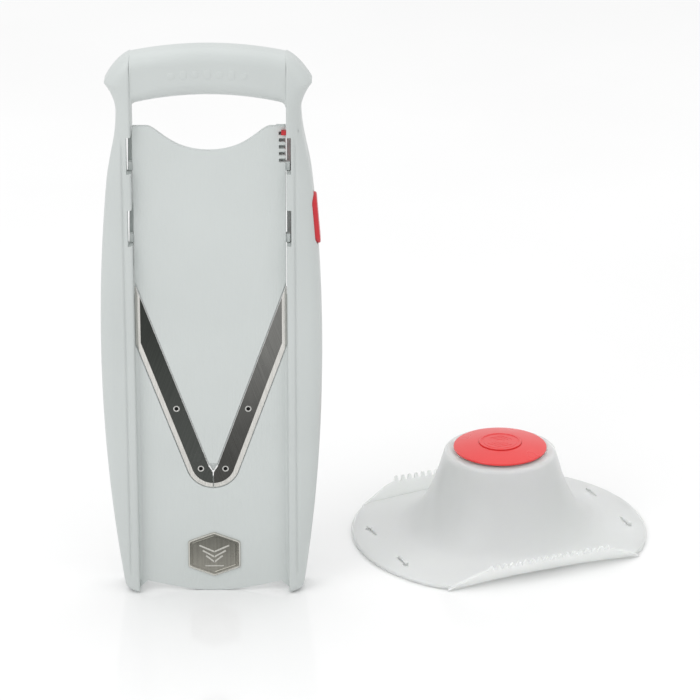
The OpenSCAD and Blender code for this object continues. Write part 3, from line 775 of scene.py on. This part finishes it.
def build_grip():
    stations = [TRACK * (i / 48) for i in range(-48, 49)]
    shape = Shape().loft([grip_loop(x) for x in stations])
    bays = 4
    rib = 2.4
    bay_w = (2 * TRACK - rib) / bays
    cuts = []
    for i in range(bays):
        x0 = -TRACK + rib + i * bay_w
        loops = []
        for k in range(9):
            x = lerp(x0, x0 + bay_w - rib, k / 8)
            section, _, _ = grip_section(x, 2.8, GRIP_HIGH[1] + 12)
            loops.append([(x, y, z) for y, z in section])
        cuts.append(Shape().loft(loops))
    for side in (-1, 1):
        # Room behind the bar for the raised insert's shoulders
        x0, x1 = sorted((side * (SCOOP_HALF - 3.4), side * (TRACK + 1)))
        cuts.append(box_shape((x0, 2.4, INSERT_TOP - 2), (x1, BACK, INSERT_TOP + TRAVEL + 1.2)))
    frame_piece("grip_moulding", shape, ["handle_grip"], cuts, 40)
    marks = Shape()
    for i in range(-3, 4):
        marks.join(relief_mark(i * 7.4, 15.2, 4.6, 4.6 if i % 2 else 6.4, 0.38))
    frame_piece("grip_relief", marks, angle=50)


# ---------------------------------------------------------------- deck

def v_line_x(z, lift=0.0):
    return V_TIP + (z - V_FOOT_Z - lift) * V_SLOPE


def rivet_holes(side, r, y1):
    """Cutters for the two rivets of the blade on one side."""
    holes = []
    for z in RIVET_ZS:
        circle = arc(side * (v_line_x(z) + RIVET_IN), z, r, 0, 345, 23)
        holes.append(Shape().loft([[(px, y, pz) for px, pz in circle] for y in (-4, y1)]))
    return holes


def seat_outline(r, reach):
    """The V with a round lower end, from its left arm's top round to its right arm's."""
    side_x = r * math.cos(V_ANGLE)
    side_z = SEAT_Z - r * math.sin(V_ANGLE)
    top = side_z + (reach - side_x) / V_SLOPE
    degrees = math.degrees(V_ANGLE)
    return [(-reach, top)] + arc(0, SEAT_Z, r, -180 + degrees, -degrees, 40) + [(reach, top)]


def deck_outline():
    notch = (TRACK - 4.9, 6.6)
    right = curve((5, 0), (0.3 * notch[0], 0), (0.62 * notch[0], 2.6), notch, 14)
    left = [(-x, z) for x, z in right]
    bed_low = V_FOOT_Z - BED_OVERHANG
    bed_high = bed_low + (TRACK - V_TIP) / V_SLOPE
    return (
        [(-5, 0), (5, 0)] + right
        + [(TRACK, 2), (TRACK, bed_high), (V_TIP, bed_low)]
        + [(-V_TIP, bed_low), (-TRACK, bed_high), (-TRACK, 2)] + left[::-1]
    )


def cove(low, high):
    """Soft fillet between the deck and the right rail."""
    r = 2.6
    loops = []
    for i in range(25):
        z = lerp(low, high, i / 24)
        k = r * math.sqrt(max(0.04, 1 - (2 * i / 24 - 1) ** 12))
        bend = arc(TRACK - k, DECK_FRONT - k, k, 90, 0, 6)
        back = DECK_FRONT + 0.4
        bend += [(TRACK + 0.2, DECK_FRONT - k), (TRACK + 0.2, back), (TRACK - k, back)]
        loops.append([(x, y, z) for x, y in bend])
    return Shape().loft(loops)


def build_deck():
    shape = Shape().plate(deck_outline(), DECK_FRONT, DECK_REAR, 0.3)
    seat = Shape()
    outline = seat_outline(SEAT_R + SEAT_GROOVE, TRACK + 3) + [(TRACK + 3, TOP), (-TRACK - 3, TOP)]
    seat.loft([[(x, y, z) for x, z in outline] for y in (DECK_FRONT - 1, DECK_FRONT + 1.2)])
    cuts = [seat] + rivet_holes(1, 2.15, 4) + rivet_holes(-1, 2.15, 4)
    rib_top = V_FOOT_Z - 16
    ribs = Shape()
    for x in (-0.52, 0, 0.52):
        ribs.bar((x * TRACK - 1, DECK_REAR - 0.4, 12), (x * TRACK + 1, DECK_REAR + 3.5, rib_top))
    ribs.bar((-TRACK, DECK_REAR - 0.4, rib_top - 2), (TRACK, DECK_REAR + 3.5, rib_top))
    ribs.bar((-TRACK, DECK_REAR - 0.4, 12), (TRACK, DECK_REAR + 3.5, 14))
    cove_top = SEAT_Z + (TRACK - SEAT_R) / V_SLOPE - 6
    ribs.join(cove(7, cove_top)).join(cove(7, cove_top).mirrored())
    frame_piece("deck_plate", shape, ["runout_deck"], cuts, 30, RIBBED_PLASTIC)
    frame_piece("deck_ribs", ribs, angle=40)


# ---------------------------------------------------------------- blades, rivets and badge

def blade_outline(band):
    """The right blade, with its outer border moved in by band."""
    r = SEAT_R - band
    limit = TRACK - 0.3 - band
    start = -90 + math.degrees(math.asin(0.3 / r))
    points = arc(0, SEAT_Z, r, start, -math.degrees(V_ANGLE), 26)
    side = points[-1]
    points.append((limit, side[1] + (limit - side[0]) / V_SLOPE))
    top_z = min(V_TOP_Z - 2, V_FOOT_Z + (limit - V_TIP) / V_SLOPE)
    points.append((limit, top_z))
    points.append((min(v_line_x(top_z), limit - 0.01), top_z))
    points.append((V_TIP, V_FOOT_Z))
    points.append((0.3, V_FOOT_Z - 3.93))
    return points


def build_blades():
    front = BLADE_LOW[1]
    rear = BLADE_HIGH[1]
    levels = [(rear, 0.0), (front + 0.62, 0.0), (front + 0.52, 0.12)]
    levels += [(front + 0.03, BEVEL_BAND), (front, BEVEL_BAND + 0.15)]
    loops = [[(x, y, z) for x, z in blade_outline(band)] for y, band in levels]
    # Each blade's steel carries its own painted reflection.
    for side, name, steel in ((1, "right_blade", RIGHT_STEEL_PAINTED_REFLECTION), (-1, "left_blade", LEFT_STEEL_PAINTED_REFLECTION)):
        shape = Shape().loft(loops, [0, 1, 1, 0])
        if side < 0:
            shape.mirrored()
        holes = rivet_holes(side, 2.05, 2)
        make(name + "_ground", shape, "frame", [steel, BEVEL_STEEL], [name], holes, 12)


def build_rivets():
    """Tubular rivets: a rolled ring in front, a turned head behind and a shallow bore between, painted near
    black as its shade.
    """
    front = BLADE_LOW[1]
    rear = DECK_REAR + 0.6
    ring = [(1.1, rear - 0.3), (2.3, rear), (2.55, rear - 0.15), (2.6, rear - 0.6), (2.05, rear - 0.62)]
    ring += [(2.05, front - 0.02), (1.9, front - 0.12), (1.6, front - 0.15), (1.35, front - 0.1)]
    ring.append((1.2, front + 0.15))
    bore = [(0.0, 0.9), (1.24, 0.9), (1.24, 0.1), (1.15, 0.5), (0.0, 0.7)]
    bore = [(r, front + depth) for r, depth in bore]
    shape = Shape()
    for side in (1, -1):
        for z in RIVET_ZS:
            centre = (side * (v_line_x(z) + RIVET_IN), z)
            shape.lathe(ring, 28, centre, "Y")
            shape.join(Shape().lathe(bore, 28, centre, "Y", closed=False), 1)
    materials = [BRIGHT_STEEL, BORE_PAINTED_SHADE]
    make("tubular_rivets", shape, "frame", materials, ["blade_rivets"], angle=50)


def hexagon(width, r, steps=5):
    """Tall-cornered hexagon with rounded corners about the badge's middle."""
    cz = (BADGE_LOW[2] + BADGE_HIGH[2]) / 2
    reach = width / 2 - r
    tall = 0.916 * width / 2 - r
    side = 0.58 * tall
    corners = [(reach, side), (0, tall), (-reach, side), (-reach, -side), (0, -tall), (reach, -side)]
    lean = math.degrees(math.atan2(0.42 * tall, reach))
    starts = [0, 90 - lean, 90 + lean, 180, 270 - lean, 270 + lean]
    ends = [90 - lean, 90 + lean, 180, 270 - lean, 270 + lean, 360]
    points = []
    for (x, z), a, b in zip(corners, starts, ends):
        points += arc(x, cz + z, r, a, b, steps)
    return points


def build_badge():
    width = BADGE_HIGH[0] - BADGE_LOW[0]
    front = BADGE_LOW[1]
    levels = [
        (width, 1.8, DECK_FRONT + 0.05), (width, 1.8, front + 0.5), (width - 0.5, 1.7, front + 0.12),
        (width - 1.1, 1.6, front), (width - 2.2, 1.5, front), (width - 3.0, 1.3, front + 0.5),
        (width - 4.6, 1.1, front + 0.55), (width - 5.2, 1.0, front + 0.3), (width - 6.0, 0.9, front + 0.3),
        (width - 6.6, 0.8, front + 0.6)
    ]
    loops = [[(x, y, z) for x, z in hexagon(w, r)] for w, r, y in levels]
    shape = Shape().loft(loops, [1, 1, 1, 1, 1, 0, 0, 0, 0])
    cz = (BADGE_LOW[2] + BADGE_HIGH[2]) / 2
    face = front + 0.6
    relief = Shape()
    for k, z in enumerate((cz + 4.2, cz + 0.6, cz - 3.0)):
        half = (9.5, 7.4, 5.3)[k]
        for side in (-1, 1):
            a = Vector((0.0, z - 2.4))
            b = Vector((side * half, z + 2.0))
            across = Vector((-(b - a).y, (b - a).x)).normalized() * 0.55
            ring = [a - across, b - across, b + across, a + across]
            relief.loft([[(p.x, y, p.y) for p in ring] for y in (face + 0.2, face - 0.18)])
    relief.bar((-6, face - 0.16, cz - 8.6), (6, face + 0.2, cz - 7.7), 0.12)
    # The badge field's darkening towards its top is painted reflection.
    make("hex_badge", shape, "frame", [BADGE_METAL_PAINTED_REFLECTION, BADGE_RIM], ["badge_plate"], angle=20)
    make("badge_relief", relief, "frame", [BADGE_RIM], angle=30)


# ---------------------------------------------------------------- insert, rack and latch

def rack_teeth():
    """The rack's right edge, from its lower end up: rounded teeth between square-bottomed notches."""
    x1 = RACK_HIGH[0]
    first = INSERT_TOP - NOTCH_PITCH - 0.2
    root = x1 - NOTCH_DEEP
    points = []
    for i in reversed(range(5)):
        z0 = first - i * NOTCH_PITCH - NOTCH_H / 2
        z1 = z0 + NOTCH_H
        points += arc(x1 - 1.0, z0 - 1.0, 1.0, 0, 90, 5)
        points += arc(root + 0.4, z0 + 0.4, 0.4, 270, 180, 3)
        points += arc(root + 0.4, z1 - 0.4, 0.4, 180, 90, 3)
        points += arc(x1 - 1.0, z1 + 1.0, 1.0, 270, 360, 5)
    return points + arc(x1 - 1.0, INSERT_TOP - 1.0, 1.0, 0, 90, 5)


def insert_outline(lift):
    """The sliding plate's front view, its V edges at lift above the blades' own."""
    floor_z = INSERT_TOP - SCOOP_DEEP
    rim = (SCOOP_HALF, INSERT_TOP)
    right = curve(rim, (rim[0] - 7.2, INSERT_TOP), (24.5, floor_z), (0, floor_z), 26)
    left = [(-x, z) for x, z in right[:-1]][::-1]
    low_z = V_FOOT_Z + lift + (INSERT_HALF - V_TIP) / V_SLOPE
    corner = arc(1.2 - INSERT_HALF, INSERT_TOP - 1.2, 1.2, 90, 180, 5)
    return (
        [(-V_TIP, V_FOOT_Z + lift), (V_TIP, V_FOOT_Z + lift), (INSERT_HALF, low_z)]
        + rack_teeth() + [rim]
        + right + left + [(-SCOOP_HALF, INSERT_TOP)] + corner + [(-INSERT_HALF, low_z)]
    )


def build_insert():
    """The sliding plate with its side flanges and lugs, and the rack that deepens its right edge."""
    rim = 0.3
    levels = (
        (DECK_FRONT, INSERT_LIFT, rim), (DECK_FRONT + 0.1, INSERT_LIFT, 0.1),
        (DECK_FRONT + rim, INSERT_LIFT, 0),
        (-0.1, INSERT_LIFT, 0), (0.05, 0.35, 0), (DECK_REAR - rim, 0.35, 0), (DECK_REAR, 0.35, rim)
    )
    shape = Shape()
    shape.loft([[(x, y, z) for x, z in offset(insert_outline(lift), inset)] for y, lift, inset in levels])
    rear = INSERT_HIGH[1]
    for side in (1, -1):
        x0, x1 = sorted((side * (INSERT_HALF - 2.5), side * INSERT_HALF))
        shape.bar((x0, DECK_REAR - 0.5, V_TOP_Z + 8), (x1, rear, RACK_LOW[2] - 1), 0.3)
        x0, x1 = sorted((side * (INSERT_HALF - 2.4), side * INSERT_HIGH[0]))
        for z in LUG_ZS:
            shape.bar((x0, -0.5, z), (x1, rear, z + LUG_H), 0.4)
    toe = [(-V_TIP - 0.2, 1.6), (V_TIP + 0.2, 1.6), (0.5, -3.2), (-0.5, -3.2)]
    shape.loft([[(x, y, V_FOOT_Z + up) for x, up in toe] for y in (0.5, DECK_REAR - 0.1)])
    x0 = RACK_LOW[0]
    comb = [(x0, RACK_LOW[2]), (RACK_HIGH[0], RACK_LOW[2])] + rack_teeth() + [(x0, INSERT_TOP)]
    comb = offset(comb, 0.02)
    shape.loft([[(x, y, z) for x, z in comb] for y in (DECK_REAR - 0.5, rear - 0.4)])
    shape.bar((x0, rear - 0.5, RACK_LOW[2]), (RACK_HIGH[0], rear, INSERT_TOP - 0.1), 0.1)
    nodes = ["insert_plate", "thickness_rack"]
    make("insert_slide_plate", shape, "insert", [RIBBED_PLASTIC], nodes, angle=30)


def build_button():
    """A long finger pad: it follows the rail's arc and is dished in the middle."""
    low = (BUTTON_LOW[1], BUTTON_LOW[2])
    high = (BUTTON_HIGH[1], BUTTON_HIGH[2])
    mid_z = (low[1] + high[1]) / 2
    half = (high[1] - low[1]) / 2
    proud = 1.75

    def face(z):
        dish = 0.9 * (1 - smoothstep(0.0, 0.75, abs(z - mid_z) / half))
        return SIDE_CX + math.sqrt((SIDE_R + proud) ** 2 - (z - SIDE_Z) ** 2) - dish

    outline = rounded_rectangle(low[0], high[0], low[1], high[1], 6.6, 12)
    rings = [(None, 0.0), (1.3, 0.0), (0.55, 0.1), (0.18, 0.45)]
    rings += [(0.0, inset) for inset in (1.1, 2.4, 4.2, 5.9)]
    loops = []
    for drop, inset in rings:
        ring = offset(outline, inset) if inset else outline
        loops.append([(BUTTON_LOW[0] if drop is None else face(z) - drop, y, z) for y, z in ring])
    pad = Shape().loft(loops)
    make("finger_button", pad, "latch", [LATCH_RED], ["release_button"], angle=42)


# ---------------------------------------------------------------- food holder

DOME_CURVE = (
    [(DOME_TOP_R - 3, DOME_H)]
    + curve(
        (DOME_TOP_R - 3, DOME_H), (DOME_TOP_R - 0.8, DOME_H),
        (DOME_TOP_R, DOME_H - 1), (DOME_TOP_R + 0.6, DOME_H - 4), 5)
    + curve((DOME_TOP_R + 0.6, DOME_H - 4), (43, 0.62 * DOME_H), (51, 12), (DOME_FOOT_R, BRIM_RISE), 20)
)
BRIM_EDGE = BRIM_R - LIP_R
BRIM_CURVE = [(DOME_FOOT_R, BRIM_RISE)] + curve(
    (DOME_FOOT_R, BRIM_RISE), (75, 4.6), (BRIM_EDGE - 10, 4.4), (BRIM_EDGE, 2.9), 12)


def on_holder(v):
    c = math.cos(HOLDER_YAW)
    s = math.sin(HOLDER_YAW)
    return (HOLDER_X + v[0] * c - v[1] * s, HOLDER_Y + v[0] * s + v[1] * c, v[2])


def brim_z(r):
    for (r0, z0), (r1, z1) in zip(BRIM_CURVE, BRIM_CURVE[1:]):
        if r0 <= r <= r1:
            return lerp(z0, z1, (r - r0) / (r1 - r0))
    return BRIM_CURVE[-1][1]


def brim_limit(a):
    """How far the brim reaches in direction a: round lobes, and two straight sides."""
    straight = (BRIM_CUT + 1.6) / max(abs(math.sin(a)), 1e-6)
    return min(BRIM_EDGE, straight)


def shell_directions():
    corner = math.asin((BRIM_CUT + 1.6) / BRIM_EDGE)
    marks = [-corner, corner, math.pi - corner, math.pi + corner, 2 * math.pi - corner]
    out = []
    for a, b in zip(marks, marks[1:]):
        out += [lerp(a, b, i / 36) for i in range(36)]
    return out


def shell_body():
    """The dome and its brim as one continuous wall."""
    outer = [(STEM_R + 0.08, DOME_H), (12, DOME_H), (20, DOME_H), (28, DOME_H)] + DOME_CURVE
    steps = 9
    loops = []
    for a in shell_directions():
        limit = brim_limit(a)
        top = list(outer)
        for i in range(1, steps + 1):
            r = lerp(DOME_FOOT_R, limit, i / steps)
            top.append((r, brim_z(r)))
        under = []
        for i, (r, z) in enumerate(top):
            before = top[max(i - 1, 0)]
            after = top[min(i + 1, len(top) - 1)]
            run = Vector((after[0] - before[0], after[1] - before[1])).normalized()
            shift = Vector((run.y, -run.x)) * SHELL_T
            under.append((max(r + shift.x, STEM_R + 0.08), z + shift.y))
        profile = top + under[::-1]
        loops.append([(r * math.cos(a), r * math.sin(a), z) for r, z in profile])
    return Shape().around(loops)


def arrow_cutters():
    cutters = []
    outline = [(-1.1, 18), (1.1, 18), (1.1, 28.8), (2.8, 28.8), (0, 34.5), (-2.8, 28.8), (-1.1, 28.8)]
    for along in (-1, 1):
        for side in (-1, 1):
            loops = [[(along * 81 + x, side * y, z) for x, y in outline] for z in (-2, 12)]
            cutters.append(Shape().loft(loops).moved(on_holder))
    return cutters


def lip_tube():
    """Rounded rim round each lobe."""
    shape = Shape()
    corner = math.degrees(math.asin(BRIM_CUT / BRIM_EDGE))
    for middle in (0, 180):
        loops = []
        for i in range(49):
            a = math.radians(middle + lerp(-corner, corner, i / 48))
            size = LIP_R * math.sqrt(max(1 - abs(2 * i / 48 - 1) ** 16, 0.05))
            loop = []
            for k in range(14):
                b = 2 * math.pi * k / 14
                r = BRIM_EDGE + size * math.cos(b)
                loop.append((r * math.cos(a), r * math.sin(a), LIP_R + size * math.sin(b)))
            loops.append(loop)
        shape.loft(loops)
    return shape


def flap_outline():
    """A flap laid flat: arched lower edge, toothed upper edge."""
    half = math.sqrt(BRIM_R ** 2 - BRIM_CUT ** 2) - 1
    run = TEETH * TOOTH_PITCH / 2
    root = FLAP_TALL - TOOTH_H
    lower = curve((-half, 0), (-0.55 * half, FLAP_ARCH), (-0.3 * half, FLAP_ARCH), (0, FLAP_ARCH), 14)
    points = [(-half, 0)] + lower + [(-x, y) for x, y in lower[:-1]][::-1] + [(half, 0), (half, 1.6)]
    points += curve((half, 1.6), (half - 8, 5), (run + 8, root - 2), (run, root), 10)
    flank = TOOTH_H * 0.85
    tooth = ((0.7, flank), (1.2, TOOTH_H), (2.2, TOOTH_H), (2.7, flank), (3.6, 0.2), (4.2, 0), (4.9, 0))
    for i in range(TEETH):
        points += [(run - i * TOOTH_PITCH - along, root + up) for along, up in tooth]
    points += curve((-run, root), (-run - 8, root - 2), (-half + 8, 5), (-half, 1.6), 10)[1:]
    return points


def flap(side):
    lean_out = math.sin(FLAP_LEAN)
    lean_up = math.cos(FLAP_LEAN)
    lift = FLAP_T * lean_out
    foot = BRIM_CUT + lift * math.tan(FLAP_LEAN)
    outline = flap_outline()
    rim = 0.25
    levels = ((0.0, rim), (0.1, 0.08), (0.3, 0), (FLAP_T - 0.3, 0), (FLAP_T - 0.1, 0.08), (FLAP_T, rim))
    loops = []
    for depth, inset in levels:
        ring = offset(outline, inset) if inset else outline
        loop = []
        for u, h in ring:
            y = foot + h * lean_out + depth * lean_up
            loop.append((u, side * y, lift + h * lean_up - depth * lean_out))
        loops.append(loop)
    return Shape().loft(loops)


def holder_piece(name, shape, replaces=(), cuts=(), angle=35, material=SHELL_PLASTIC):
    shape.moved(on_holder)
    make(name, shape, "holder", [material], replaces, cuts, angle)


def build_holder():
    holder_piece("holder_shell", shell_body(), ["holder_dome", "holder_brim"], arrow_cutters())
    holder_piece("holder_lip", lip_tube(), angle=50)
    for side, node in ((-1, "near_flap"), (1, "far_flap")):
        holder_piece("toothed_" + node, flap(side), [node])
    low = DOME_H - 15
    high = DOME_H - 1.2
    inner = STEM_R + 0.08
    outer = STEM_R + 3
    guide = [(inner, low), (outer - 0.4, low), (outer, low + 0.5), (outer, high), (inner, high)]
    # The stem guide gets the darkened inner plastic: painted shade.
    holder_piece("stem_guide", Shape().lathe(guide, 64), angle=40, material=INNER_PLASTIC_PAINTED_SHADE)


def build_cap():
    base = CAP_LOW[2]
    crown = CAP_HIGH[2]
    rise = crown - base - 1.4
    ball = (CAP_R ** 2 + rise ** 2) / (2 * rise)
    fall = math.asin(CAP_R / ball)
    low, high = box_mm("cap_medallion")
    well = (high[0] - low[0]) / 2 + 0.1
    edge = [(2.4, 0.6), (2, 0), (0.6, 0), (0.15, 0.2), (0, 0.7), (0.02, 1.1), (0.25, 1.42)]
    profile = [(0.0, base + 0.6)] + [(CAP_R - inset, base + up) for inset, up in edge]
    for i in range(1, 15):
        r = ball * math.sin(fall * (1 - i / 15))
        if r > well + 0.9:
            profile.append((r, base + 1.4 + rise - ball * (1 - math.cos(fall * (1 - i / 15)))))
    edge_z = base + 1.4 + rise - ball * (1 - math.cos(math.asin((well + 0.6) / ball)))
    profile += [(well + 0.6, edge_z), (well + 0.15, edge_z - 0.15), (well, edge_z - 0.5)]
    profile += [(well, low[2]), (0.0, low[2])]
    cap = Shape().lathe(profile, 128, closed=False)
    make("dished_cap", cap.moved(on_holder), "plunger", [CAP_RED], ["plunger_cap"], angle=40)


def build_medallion():
    """A disc with a raised ring and a plain hexagonal pattern."""
    low, high = box_mm("cap_medallion")
    r = (high[0] - low[0]) / 2
    top = high[2]
    face = [(0, 0.25), (0.3, 0.02), (1.2, 0.02), (1.5, 0.4), (2.6, 0.4), (2.9, 0.15), (r, 0.1)]
    profile = [(0.0, low[2]), (r - 0.2, low[2]), (r, low[2] + 0.2)]
    profile += [(r - inset, top - down) for inset, down in face]
    shape = Shape().lathe(profile, 96, closed=False)
    for size, wide in ((9.2, 0.8), (6.4, 0.6), (3.6, 0.6)):
        ring = [(size - wide, top - 0.4), (size, top - 0.4), (size, top), (size - wide, top)]
        shape.lathe(ring, 6)
    shape.moved(on_holder)
    make("hex_medallion", shape, "plunger", [CAP_RED], ["cap_medallion"], angle=30)


# ---------------------------------------------------------------- pieces kept from the frame

def finish_cad_nodes():
    """Materials for the frame's own pieces that stay as they are."""
    steel = ["cover_screws", "latch_pivot_pin", "latch_spring", "spikes", "plate_screw"]
    wanted = (
        (FRAME_PLASTIC, "frame_plastic", ["latch_cover"]),
        (LATCH_RED, "red_plastic", ["latch_lever"]),
        (BRIGHT_STEEL, "bright_steel", steel),
        # The clear inner parts get the darkened milky plastic: painted shade.
        (INNER_PLASTIC_PAINTED_SHADE, "clear_plastic", ["food_chamber", "plunger_stem", "spike_plate"]),
    )
    for material, slot, nodes in wanted:
        for obj in [NODES[node] for node in nodes]:
            obj.data.materials.clear()
            obj.data.materials.append(material)
            for polygon in obj.data.polygons:
                polygon.use_smooth = True
                polygon.material_index = 0


# ---------------------------------------------------------------- stage, lights and camera

def build_stage():
    """A pale, faintly glossy floor that reaches past the picture on every side."""
    n = Nodes("studio_floor")
    tint = n.ramp(n.noise(3, 3, 0.5), [(0.3, (0.88,) * 3), (0.7, (0.90,) * 3)])
    n.link(tint, n.shader.inputs["Base Color"])
    n.link(n.span(n.noise(8, 2, 0.5), 0.06, 0.09), n.shader.inputs["Roughness"])
    n.shader.inputs["IOR"].default_value = 1.45
    half = 6.0
    mesh = bpy.data.meshes.new("floor")
    corners = [(-half, -half, 0), (half, -half, 0), (half, half, 0), (-half, half, 0)]
    mesh.from_pydata(corners, [], [(0, 1, 2, 3)])
    mesh.materials.append(n.material)
    floor = put("floor", mesh)
    floor.location.z = -0.0002


def area_light(name, place, target, size, watts):
    light = bpy.data.lights.new(name, "AREA")
    light.shape = "RECTANGLE"
    light.size = size[0]
    light.size_y = size[1]
    light.energy = watts
    obj = put(name, light)
    obj.location = place
    obj.rotation_euler = (Vector(target) - Vector(place)).to_track_quat("-Z", "Y").to_euler()


def build_lights():
    world = bpy.data.worlds.new("studio")
    world.use_nodes = True
    world.node_tree.nodes["Background"].inputs["Color"].default_value = (1.0, 1.0, 1.0, 1.0)
    world.node_tree.nodes["Background"].inputs["Strength"].default_value = 0.92
    bpy.context.scene.world = world
    middle = (0.1, 0.0, 0.15)
    area_light("key", (-1.3, -1.2, 1.6), middle, (1.2, 1.2), 12)
    area_light("fill", (1.6, -0.9, 1.0), middle, (1.4, 1.4), 3)
    area_light("top", (0.1, 0.5, 2.2), middle, (2.2, 1.6), 8)


def build_camera():
    """A long lens at the front, a little above the parts."""
    elevation = math.radians(22)
    camera = bpy.data.cameras.new("camera")
    camera.lens = 200
    camera.sensor_width = 36
    frame_width = 0.4400
    distance = frame_width * camera.lens / camera.sensor_width
    target = Vector((0.0870, 0.0, 0.1660))
    obj = put("camera", camera)
    obj.location = target + Vector((0, -math.cos(elevation), math.sin(elevation))) * distance
    obj.rotation_euler = (target - obj.location).to_track_quat("-Z", "Y").to_euler()
    camera.clip_end = 30
    bpy.context.scene.camera = obj
    bpy.context.scene.view_settings.view_transform = "Standard"


build_rails()
build_grip()
build_deck()
build_blades()
build_rivets()
build_badge()
build_insert()
build_button()
build_holder()
build_cap()
build_medallion()
finish_cad_nodes()
build_stage()
build_lights()
build_camera()
